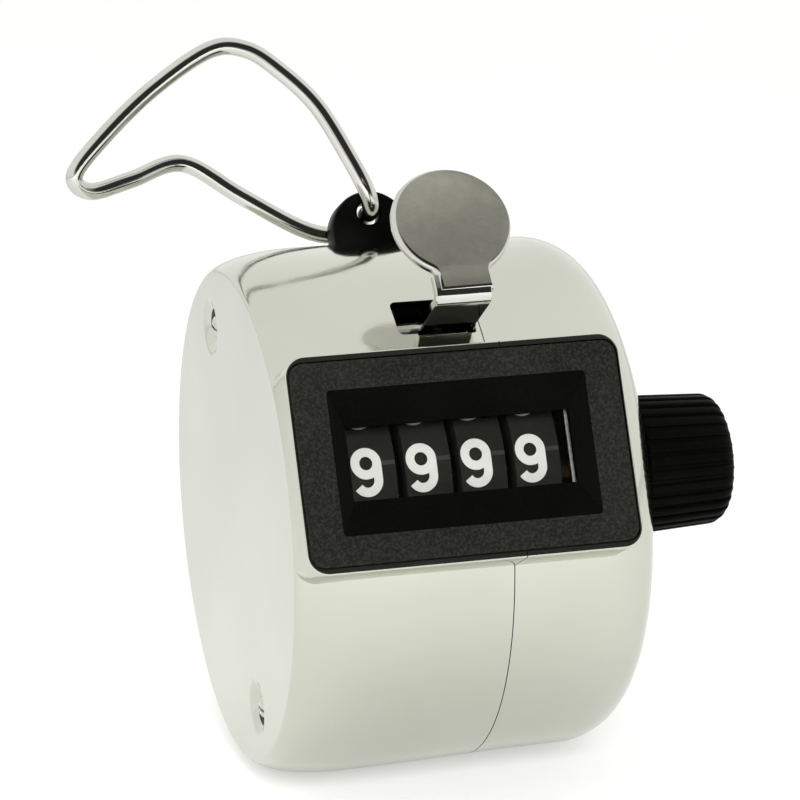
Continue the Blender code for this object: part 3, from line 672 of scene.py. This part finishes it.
def windowFrame():
    face, back = window["faceY"], window["faceY"] + window["depth"]
    slopeX = (window["recessWidth"] - window["openingWidth"]) / window["recessDepth"]
    slopeZ = (window["recessHeight"] - window["openingHeight"]) / window["recessDepth"]

    def outer(inset, y):
        outline = collarOutline(window["width"] - 2 * inset, window["height"] - 2 * inset,
                                window["corner"] - inset)
        return [(x, y, z) for x, z in outline]

    def inner(depth, grow, corner):
        width = window["recessWidth"] - slopeX * depth + 2 * grow
        height = window["recessHeight"] - slopeZ * depth + 2 * grow
        return [(x, face + depth, z) for x, z in collarOutline(width, height, corner)]

    loops = [outer(0, back), outer(0, face + 0.3), outer(0.05, face + 0.13), outer(0.15, face + 0.03),
             outer(0.3, face), inner(0, 0.12, 0.4), inner(0.03, 0.03, 0.34), inner(0.1, 0.0, 0.3),
             inner(window["recessDepth"] - 0.02, 0.0, 0.12), inner(window["recessDepth"], -0.03, 0.1)]
    last = [(x, back, z) for x, _, z in loops[-1]]
    obj = closeMesh("windowFrame", loft(loops + [last], closed=True), 30)
    dress(obj, framePlastic, shadedRecessPlastic)
    for wall in obj.data.polygons:
        centre = wall.center
        aside = abs(centre.x - window["x"]) < window["recessWidth"] / 2
        within = abs(centre.z - window["z"]) < window["recessHeight"] / 2
        # the recess walls take the darker finish, which is painted shade
        wall.material_index = int(aside and within and centre.y > face + 0.04)
    return finishPiece(obj, None, "case", ["window_bezel"])


def windowPane():
    front = window["faceY"] + window["depth"] + 0.05
    outline = roundedBox((window["x"], window["z"]), 20.4, 8.0, 0.6, 6)
    obj = closeMesh("windowPane", prismY(outline, front, front + 0.6), 30)
    return finishPiece(obj, lensClear, "case", ["window_lens"])


def paneEdgeGlint():
    # a light grey bar painted as the glint on the pane's cut edge, at the right end of the window
    outline = roundedBox((23.05, 0.0), 0.34, 6.6, 0.1, 4)
    obj = closeMesh("paneEdgeGlint", prismY(outline, -21.22, -21.05), 30)
    return finishPiece(obj, paintedEdgeGlint, "case")


windowFrame()
windowPane()
paneEdgeGlint()
print("window done")

wheels = {
    "names": ("thousands", "hundreds", "tens", "units"), "first": 5.0, "pitch": 4.5, "rim": 3.8,
    "radius": 8.9, "recess": 7.6, "bore": 1.6, "ratchetTip": 4.1, "ratchetRoot": 3.2, "teeth": 10,
    "ratchetWidth": 0.6, "shown": 9, "stroke": 0.76, "figureDepth": 0.05, "figureX": 1.37,
    "figureDrop": 0.12, "figureScale": (0.93, 0.96), "dashX": 3.22,
    "dashWidth": 1.05, "dashHeight": 0.34, "dashRise": 3.35,
}


def figureStrokes(figure):
    # the middle lines of a bold upright figure; a stroke marked True joins its own start
    side, top, low = 0.95, 1.67, -1.67
    upper, lower = (0, 0.72), (0, -0.72)
    nine = [(ellipseArc(upper, (side, 0.95), 0, 345, 30), True),
            ([(side, 0.72), (side, -0.1)] + ellipseArc(lower, (side, 0.95), 0, -148), False)]
    return {
        0: [(ellipseArc(upper, (side, 0.95), 0, 180) + ellipseArc(lower, (side, 0.95), 180, 360), True)],
        1: [([(0.3, 2.05), (0.3, -2.05)], False), ([(0.3, 1.7), (-0.1, 1.35), (-0.8, 1.1)], False)],
        2: [(ellipseArc(upper, (side, 0.95), 165, -35) + [(-0.95, low)], False),
            ([(-1.25, low), (1.3, low)], False)],
        3: [(ellipseArc((0, 0.84), (0.88, 0.83), 150, -90), False),
            (ellipseArc((0, -0.78), (side, 0.89), 90, -150), False)],
        4: [([(0.45, 1.8), (-1.1, -0.8)], False), ([(-1.3, -0.8), (1.35, -0.8)], False),
            ([(0.5, 2.05), (0.5, -2.05)], False)],
        5: [([(1.15, top), (-0.8, top)], False), ([(-0.72, 1.9), (-0.85, 0.1)], False),
            (ellipseArc((0, -0.6), (side, 1.07), 140, -150), False)],
        6: [([(-x, -y) for x, y in path], closed) for path, closed in nine],
        7: [([(-1.3, top), (1.3, top)], False), ([(0.95, top), (0.1, 0.2), (-0.35, -2.05)], False)],
        8: [(ellipseArc((0, 0.86), (0.84, 0.81), 0, 345, 30), True),
            (ellipseArc((0, -0.76), (side, 0.91), 0, 345, 30), True)],
        9: nine,
    }[figure]


def strokeShape(path, closed, weight, depth):
    # a flat bar that follows the path; a closed path gives a ring
    points = [Vector(point) for point in path]
    left, right = [], []
    for i, point in enumerate(points):
        ahead = points[(i + 1) % len(points)] if closed else points[min(i + 1, len(points) - 1)]
        behind = points[i - 1] if closed else points[max(i - 1, 0)]
        along = (ahead - behind).normalized()
        across = Vector((-along.y, along.x)) * weight / 2
        left.append(point + across)
        right.append(point - across)
    if closed:
        return loft([[(v.x, v.y, z) for v in edge] for edge, z in
                     ((left, depth), (right, depth), (right, -depth), (left, -depth))], closed=True)
    return loft([[(v.x, v.y, z) for v in left + right[::-1]] for z in (-depth, depth)])


def figureShape(figure):
    strokes = figureStrokes(figure)
    first = closeMesh("figure", strokeShape(*strokes[0], wheels["stroke"], wheels["figureDepth"]))
    others = [strokeShape(path, closed, wheels["stroke"], wheels["figureDepth"])
              for path, closed in strokes[1:]]
    if others:
        combine(first, others, "UNION")
    return first


def figureStrip():
    # the ten figures laid out flat, one step of the wheel apart, cut fine enough to bend
    step = 2 * math.pi * wheels["radius"] / 10
    strip = bmesh.new()
    for figure in range(10):
        shape = figureShape(figure)
        turns = (figure - wheels["shown"] + 5) % 10 - 5
        size = Matrix.Diagonal((*wheels["figureScale"], 1, 1))
        shape.data.transform(Matrix.Translation((0, turns * step - wheels["figureDrop"], 0)) @ size)
        strip.from_mesh(shape.data)
        bpy.data.objects.remove(shape, do_unlink=True)
    for cutLine in range(-26, 27):
        bmesh.ops.bisect_plane(strip, geom=strip.verts[:] + strip.edges[:] + strip.faces[:],
                               plane_co=(0, cutLine * step / 5 + 0.003, 0), plane_no=(0, 1, 0))
    return strip


def joinInto(obj, others):
    # adds whole objects to one mesh, each part keeping its own finish
    bm = bmesh.new()
    bm.from_mesh(obj.data)
    materials = list(obj.data.materials)
    for other in others:
        start = len(bm.faces)
        bm.from_mesh(other.data)
        bm.faces.ensure_lookup_table()
        for face in bm.faces[start:]:
            material = other.data.materials[face.material_index]
            if material not in materials:
                materials.append(material)
            face.material_index = materials.index(material)
        bpy.data.objects.remove(other, do_unlink=True)
    bm.to_mesh(obj.data)
    bm.free()
    for material in materials[len(obj.data.materials):]:
        obj.data.materials.append(material)
    return obj


def wheelBody():
    end = wheels["rim"]
    edge = 0.12
    radius = wheels["radius"]
    profile = [(1.0, wheels["bore"]), (1.0, wheels["recess"]), (0.1, wheels["recess"]),
               (0, wheels["recess"] + 0.1), (0, radius - edge), (0.035, radius - 0.035),
               (edge, radius), (end - edge, radius), (end - 0.035, radius - 0.035),
               (end, radius - edge), (end, wheels["bore"])]
    wheel = closeMesh("wheel", lathe(profile, segments=120, closed=True), 28)
    wheel.data.materials.append(wheelPlastic)
    teeth = []
    for tooth in range(wheels["teeth"]):
        turn = 2 * math.pi * tooth / wheels["teeth"]
        for reach, offset in ((wheels["ratchetRoot"], 0.02), (wheels["ratchetTip"], 0.0)):
            teeth.append((reach * math.cos(turn + offset), reach * math.sin(turn + offset)))
    ratchet = prismX(teeth[::-1], end - 0.2, end + wheels["ratchetWidth"])
    combine(wheel, [ratchet], "UNION", 28)
    bore = lathe([(end - 0.4, wheels["bore"]), (end + 2, wheels["bore"])], (0, 0), 120)
    combine(wheel, [bore], "DIFFERENCE", 28)
    return wheel


def readingDashes():
    # a short raised dash to the right of each figure
    half, low, high = wheels["dashWidth"] / 2, wheels["radius"] - 0.05, wheels["radius"] + 0.03
    outline = roundedBox((wheels["dashX"], 0), 2 * half, wheels["dashHeight"], 0.08, 3)
    dash = closeMesh("dashes", loft([[(x, y, z) for x, y in outline] for z in (low, high)]), 30)
    return applyTree(dash, copiesRoundAxis, count=10, firstTurn=math.radians(90 - wheels["dashRise"]),
                     material=markPlastic)


def numberWheels():
    for place, name in enumerate(wheels["names"]):
        figures = closeMesh("figures", figureStrip(), 30)
        applyTree(figures, bandRoundWheel, radius=wheels["radius"], material=figurePaint)
        figures.data.transform(Matrix.Translation((wheels["figureX"], 0, 0)))
        wheel = joinInto(wheelBody(), [figures, readingDashes()])
        wheel.name = name + "Wheel"
        x = wheels["first"] + place * wheels["pitch"]
        wheel.data.transform(Matrix.Translation((x, *wheelAxis)))
        finishPiece(wheel, None, name + "_wheel", [name + "_wheel"])


numberWheels()
print("number wheels done")

knob = {"start": 30.85, "end": 38.45, "radius": 5.7, "endRadius": 5.4, "ribs": 30, "groove": 0.32,
        "ribWidth": 0.78}


def knobPath(drop):
    # the knob's side from the case to the middle of its rounded end, as (x, radius)
    end, radius = knob["end"], knob["endRadius"]
    points = [(knob["start"], knob["radius"] - 0.25 - drop),
              (knob["start"] + 0.08, knob["radius"] - 0.07 - drop),
              (knob["start"] + 0.25, knob["radius"] - drop)]
    points += [(end - 1.5 + 1.5 * math.sin(a), radius - 1.5 + 1.5 * math.cos(a) - drop * math.cos(a))
               for a in (math.pi / 2 * i / 8 for i in range(9))]
    return points


def resetKnob():
    body = knobPath(knob["groove"])[:-1] + [(knob["end"] - 0.06, knob["endRadius"] - 1.75),
                                            (knob["end"] - 0.12, 0.02)]
    core = closeMesh("resetKnob", lathe(body, (0, 0), 120), 40)
    core.data.materials.append(knobPlastic)
    combine(core, [lathe([(30, 1.6), (36.8, 1.6)], (0, 0), 48)], "DIFFERENCE", 40)
    half = knob["ribWidth"] / 2
    section = [(-half, -0.5), (-half * 0.98, -0.16), (-half * 0.72, -0.04), (0, 0),
               (half * 0.72, -0.04), (half * 0.98, -0.16), (half, -0.5)]
    path = knobPath(0)
    loops = []
    for i, (x, radius) in enumerate(path):
        ahead, behind = path[min(i + 1, len(path) - 1)], path[max(i - 1, 0)]
        along = Vector((ahead[0] - behind[0], ahead[1] - behind[1])).normalized()
        out = Vector((-along.y, along.x))
        narrow = radius / knob["radius"]
        loops.append([(x + out.x * drop, across * narrow, radius + out.y * drop)
                      for across, drop in section])
    rib = closeMesh("rib", loft(loops), 35)
    applyTree(rib, copiesRoundAxis, count=knob["ribs"], firstTurn=0.05, material=knobPlastic)
    joinInto(core, [rib])
    core.data.transform(Matrix.Translation((0, *wheelAxis)))
    return finishPiece(core, None, "reset_shaft", ["reset_knob"])


resetKnob()
print("reset knob done")

lever = {
    "x": 14.85, "padX": 15.1, "padY": -23.5, "padZ": 18.45, "padRadius": 4.85, "padThickness": 1.0,
    "padLean": 18, "neckLength": 6.3, "neckWidth": 4.4, "stemWidth": 4.6, "stemThickness": 0.8,
    "rimWidth": 0.26,
}


def padOutline(inset, steps=56):
    radius, half = lever["padRadius"] - inset, lever["neckWidth"] / 2 - inset
    blend = 0.9 + inset  # the hollow fillet between the round head and the neck
    reach = math.sqrt((radius + blend) ** 2 - (half + blend) ** 2)
    meet = math.degrees(math.atan2(-reach, half + blend))
    head = arc((0, 0), radius, meet, 180 - meet, steps)
    low = -lever["neckLength"] + inset
    leftFillet = [(-half - blend + blend * math.cos(a), -reach + blend * math.sin(a))
                  for a in (math.radians(-meet * (1 - i / 8)) for i in range(9))]
    rightFillet = [(-x, z) for x, z in leftFillet[::-1]]
    return head + leftFillet[1:] + [(-half, low), (half, low)] + rightFillet[:-1]


def ribbon(path, thickness):
    points = [Vector(point) for point in path]
    left, right = [], []
    for i, point in enumerate(points):
        ahead = (points[min(i + 1, len(points) - 1)] - point).normalized()
        behind = (point - points[max(i - 1, 0)]).normalized()
        along = (ahead + behind).normalized()
        side = Vector((-along.y, along.x)) * thickness / 2
        left.append(tuple(point + side))
        right.append(tuple(point - side))
    return left + right[::-1]


def roundCorners(path, radius, steps=6):
    # swaps each inner corner of a path for a short curve
    points = [Vector(path[0])]
    for before, corner, after in zip(path, path[1:], path[2:]):
        before, corner, after = Vector(before), Vector(corner), Vector(after)
        reach = min(radius, (before - corner).length * 0.45, (after - corner).length * 0.45)
        start = corner + (before - corner).normalized() * reach
        end = corner + (after - corner).normalized() * reach
        points += [start.lerp(corner, t).lerp(corner.lerp(end, t), t)
                   for t in (i / steps for i in range(steps + 1))]
    return points + [Vector(path[-1])]


def thumbLever():
    lean = math.radians(lever["padLean"])
    up = Vector((0, math.sin(lean), math.cos(lean)))
    out = Vector((0, -math.cos(lean), math.sin(lean)))
    centre = Vector((lever["padX"], lever["padY"], lever["padZ"]))
    thickness = lever["padThickness"]
    rim = lever["rimWidth"]
    loops = []
    # the satin face sits a little up and to the right, so the bright bevel is wider at the lower left
    for depth, inset, lopsided in (
            (0, rim, 1), (0.05, rim * 0.55, 0.55), (0.16, rim * 0.2, 0.2), (0.34, 0, 0),
            (thickness - 0.3, 0, 0), (thickness - 0.1, 0.08, 0), (thickness, 0.25, 0)):
        aside, above = 0.12 * lopsided, 0.06 * lopsided
        loops.append([centre + Vector((across + aside, 0, 0)) + up * (rise + above) - out * depth
                      for across, rise in padOutline(inset)])
    obj = closeMesh("thumbLever", loft(loops), 30)
    bend = centre - up * lever["neckLength"] - out * thickness / 2
    top = bend + up * 1.5
    corner = bend + Vector((0, 0.35, -0.55))
    path = roundCorners([(top.y, top.z), (bend.y, bend.z), (corner.y, corner.z), (-18.6, 10.95),
                         (leverPivot[0], 10.85)], 0.5)
    half = lever["stemWidth"] / 2
    outline = ribbon(path, lever["stemThickness"])
    edge = 0.1
    inside = ribbon(path, lever["stemThickness"] - 2 * edge)
    stem = loft([[(lever["x"] + x, y, z) for y, z in shape] for x, shape in
                 ((-half, inside), (-half + edge, outline), (half - edge, outline), (half, inside))])
    flange = rectangle(leverPivot[0], 10.35, -10.9, 11.1)
    hub = lathe([(6.9, 1.7), (24.6, 1.7)], leverPivot, 48)
    combine(obj, [stem, hub, prismX(flange, 7.2, 23.6)], "UNION", 30)
    cutters = [lathe([(0, 1.1), (30, 1.1)], leverPivot, 48)]
    for x in (11.45, 20.45):
        rivetHole = arc((x, -12.0), 0.45, 0, 345, 23)
        cutters.append(loft([[(px, py, z) for px, py in rivetHole] for z in (9, 12)]))
    combine(obj, cutters, "DIFFERENCE", 30)
    dress(obj, polishedChrome, padSatin)
    for face in obj.data.polygons:
        level = (face.center - centre).dot(out)
        if face.normal.dot(out) > 0.999 and abs(level) < 0.01:
            face.material_index = 1
    return finishPiece(obj, None, "thumb_lever", ["thumb_lever"])


thumbLever()
print("thumb lever done")

ring = {
    "hole": (13.46, -4.0, 23.65), "wire": 0.73, "sides": 20, "steps": 10,
    "points": ((0, 0, 0), (0, -1.7, 0.1), (-0.4, -2.6, 1.5), (-1.6, -3.1, 4.2), (-3.9, -3.5, 8.7),
               (-6.6, -3.4, 11.9), (-9.2, -2.9, 14.1), (-12.2, -2.2, 14.4), (-17.2, -1.0, 11.6),
               (-21.6, 0.0, 8.0), (-24.0, 1.0, 5.3), (-22.6, 1.9, 4.1), (-19.0, 2.5, 5.0),
               (-14.3, 3.4, 6.3), (-9.7, 3.4, 3.2), (-5.1, 2.9, 0.0), (-2.2, 2.6, -0.9),
               (0, 1.7, -0.1)),
}
lug = {"y": -4.0, "width": 6.6, "thickness": 2.4, "crown": 22.2, "low": 20.3, "footMargin": 0.6,
       "footTop": 19.85}


def smoothLoop(points, steps):
    curve = []
    for i in range(len(points)):
        p0, p1, p2, p3 = (Vector(points[(i + k) % len(points)]) for k in (-1, 0, 1, 2))
        for k in range(steps):
            t = k / steps
            curve.append(0.5 * (2 * p1 + (p2 - p0) * t + (2 * p0 - 5 * p1 + 4 * p2 - p3) * t ** 2
                                + (3 * p1 - p0 - 3 * p2 + p3) * t ** 3))
    return curve


def fingerRing():
    path = [point + Vector(ring["hole"]) for point in smoothLoop(ring["points"], ring["steps"])]
    loops = []
    normal = None
    for i, point in enumerate(path):
        along = (path[(i + 1) % len(path)] - path[i - 1]).normalized()
        normal = along.orthogonal() if normal is None else normal
        normal = (normal - along * normal.dot(along)).normalized()
        across = along.cross(normal)
        loops.append([point + ring["wire"] * (math.cos(a) * normal + math.sin(a) * across)
                      for a in (2 * math.pi * k / ring["sides"] for k in range(ring["sides"]))])
    turn = min(range(ring["sides"]), key=lambda k: (loops[0][k] - loops[-1][0]).length)
    loops.append(loops[0][turn:] + loops[0][:turn])
    obj = closeMesh("fingerRing", loft(loops, capped=False), 60)
    return finishPiece(obj, polishedChrome, "finger_ring", ["finger_ring"])


def ringLug():
    x, half, depth = ring["hole"][0], lug["width"] / 2, lug["thickness"] / 2

    def ear(inset):
        crown = arc((x, lug["crown"]), half - inset, 0, 180, 40)
        return crown + [(x - half + inset, lug["low"]), (x + half - inset, lug["low"])]

    loops = [[(px, lug["y"] + y, pz) for px, pz in ear(inset)] for y, inset in
             ((-depth, 0.3), (-depth + 0.08, 0.1), (-depth + 0.28, 0), (depth - 0.28, 0),
              (depth - 0.08, 0.1), (depth, 0.3))]
    obj = closeMesh("ringLug", loft(loops), 40)
    wide = half + lug["footMargin"]
    top = lug["footTop"]
    foot = prismY(rectangle(x - wide, 19.0, x + wide, top), lug["y"] - 2, lug["y"] + 2)
    stalk = prismY(rectangle(x - half, 19.5, x + half, 20.8), lug["y"] - 1.1, lug["y"] + 1.1)
    combine(obj, [foot, stalk], "UNION", 35)
    flare = [(-depth - 0.1, 1.35), (-depth + 0.12, 1.12), (-depth + 0.3, 1.0), (depth - 0.3, 1.0),
             (depth - 0.12, 1.12), (depth + 0.1, 1.35)]
    hole = loft([[(px, lug["y"] + y, pz) for px, pz in arc((x, ring["hole"][2]), r, 0, 352.5, 47)]
                 for y, r in flare])
    combine(obj, [hole], "DIFFERENCE", 35)
    return finishPiece(obj, lugPlastic, "case", ["ring_lug"])


fingerRing()
ringLug()
print("ring and lug done")


def caseScrews():
    seat, head, shank = 0.75, 0.95, 0.6
    crown = [(seat - 0.55, 0.05), (seat - 0.54, 0.35), (seat - 0.48, 0.62), (seat - 0.36, 0.82),
             (seat - 0.2, 0.93), (seat, head), (seat, shank), (seat + 5.5, shank)]
    screw = closeMesh("caseScrews", lathe(crown, segments=40), 35)
    slot = prismY(rectangle(seat - 1, -0.13, seat - 0.25, 0.13), -2, 2)
    combine(screw, [slot], "DIFFERENCE", 35)
    screw.data.transform(Matrix.Rotation(math.radians(35), 4, "X"))
    height = drum["postHeight"]
    screw.data.transform(Matrix.Translation((0, 0, -height)))
    applyTree(screw, copiesInRow, count=2, step=(0, 0, 2 * height), material=polishedChrome)
    return finishPiece(screw, None, "case", ["lower_case_screw", "upper_case_screw"])


caseScrews()

# the hidden works keep their own shapes and only take a finish, chosen by a word in the piece's name
innerFinishes = ((("spring", "detent_comb", "drive_comb", "clip"), springSteel),
                 (("post", "bushing", "sleeve"), turnedBrass))
for nodeName, node in frame["nodes"].items():
    chosen = zincPlate
    for words, material in innerFinishes:
        if any(word in nodeName for word in words):
            chosen = material
    dress(node, chosen)
print("inner works painted")


studio = {"wall": 1.0, "openSide": (0.15, -0.85, 0.5), "openEdge": (0.62, 0.84), "floorGlow": 0.28,
          "cameraGlow": 0.16}


def areaLight(name, place, target, size, power, mirrored=True):
    light = bpy.data.lights.new(name, "AREA")
    light.shape = "RECTANGLE"
    light.size, light.size_y = size
    light.energy = power
    obj = addObject(name, light)
    obj.location = place
    obj.visible_glossy = mirrored
    obj.rotation_euler = (Vector(target) - Vector(place)).to_track_quat("-Z", "Y").to_euler()
    return obj


def floorSheet():
    bm = bmesh.new()
    size = 3.0
    for corner in rectangle(-size, -size, size, size):
        bm.verts.new((*corner, cadLow.z - 0.00005))
    bm.faces.new(bm.verts[:])
    mesh = bpy.data.meshes.new("floorSheet")
    bm.to_mesh(mesh)
    bm.free()
    obj = addObject("floorSheet", mesh)
    material = bpy.data.materials.new("paleFloor")
    material.use_nodes = True
    tree = material.node_tree
    shader = tree.nodes["Principled BSDF"]
    mottle = useGroup(tree, softMottle, light=(0.58, 0.58, 0.575, 1), dark=(0.55, 0.55, 0.545, 1),
                      scale=6.0, smudgeScale=40.0)
    tree.links.new(mottle.outputs["Color"], shader.inputs["Base Color"])
    shader.inputs["Roughness"].default_value = 0.9
    shader.inputs["Specular IOR Level"].default_value = 0.1
    shader.inputs["Emission Color"].default_value = (1, 1, 0.99, 1)
    # extra glow for the camera alone keeps the sheet white without brightening the chrome
    seen = tree.nodes.new("ShaderNodeLightPath").outputs["Is Camera Ray"]
    added = mathNode(tree, "MULTIPLY", seen, studio["cameraGlow"])
    glow = mathNode(tree, "ADD", added, studio["floorGlow"])
    tree.links.new(glow, shader.inputs["Emission Strength"])
    obj.data.materials.append(material)
    return obj


def softRoom():
    # a pale tent, open and dark on the side that the window faces
    world = bpy.data.worlds.new("softRoom")
    bpy.context.scene.world = world
    world.use_nodes = True
    tree = world.node_tree
    background = tree.nodes["Background"]
    toward = tree.nodes.new("ShaderNodeTexCoord").outputs["Generated"]
    nearness = tree.nodes.new("ShaderNodeVectorMath")
    nearness.operation = "DOT_PRODUCT"
    tree.links.new(toward, nearness.inputs[0])
    nearness.inputs[1].default_value = Vector(studio["openSide"]).normalized()
    ramp = tree.nodes.new("ShaderNodeValToRGB")
    ramp.color_ramp.interpolation = "EASE"
    ramp.color_ramp.elements[0].position = studio["openEdge"][0]
    ramp.color_ramp.elements[0].color = (1.0, 1.0, 0.985, 1)
    ramp.color_ramp.elements[1].position = studio["openEdge"][1]
    ramp.color_ramp.elements[1].color = (0.035, 0.035, 0.033, 1)
    tree.links.new(nearness.outputs["Value"], ramp.inputs[0])
    tree.links.new(ramp.outputs[0], background.inputs["Color"])
    background.inputs["Strength"].default_value = studio["wall"]


floorSheet()
softRoom()
areaLight("topSoftbox", (-0.10, 0.05, 0.60), (0.01, 0, 0), (0.6, 0.6), 0.6, mirrored=False)
areaLight("leftSoftbox", (-0.45, -0.20, 0.35), (0.01, 0, 0), (0.3, 0.3), 0.5, mirrored=False)
areaLight("windowFill", (-0.05, -0.50, 0.25), (0.014, -0.02, 0.005), (0.2, 0.2), 3.2, mirrored=False)
print("studio lit")

viewpoint = {
    "place": (-0.0809, -0.3433, 0.1008), "forward": (0.2590, 0.9329, -0.2503),
    "right": (0.9625, -0.2708, -0.0135), "lens": 199.6,
}


def placeCamera():
    data = bpy.data.cameras.new("camera")
    data.lens = viewpoint["lens"]
    data.sensor_width = 36
    data.clip_start = 0.01
    camera = addObject("camera", data)
    forward = Vector(viewpoint["forward"]).normalized()
    right = Vector(viewpoint["right"])
    right = (right - forward * right.dot(forward)).normalized()
    up = right.cross(forward)
    turn = Matrix((right, up, -forward)).transposed().to_4x4()
    camera.matrix_world = Matrix.Translation(viewpoint["place"]) @ turn
    bpy.context.scene.camera = camera


placeCamera()
bpy.context.scene.view_settings.view_transform = "Standard"
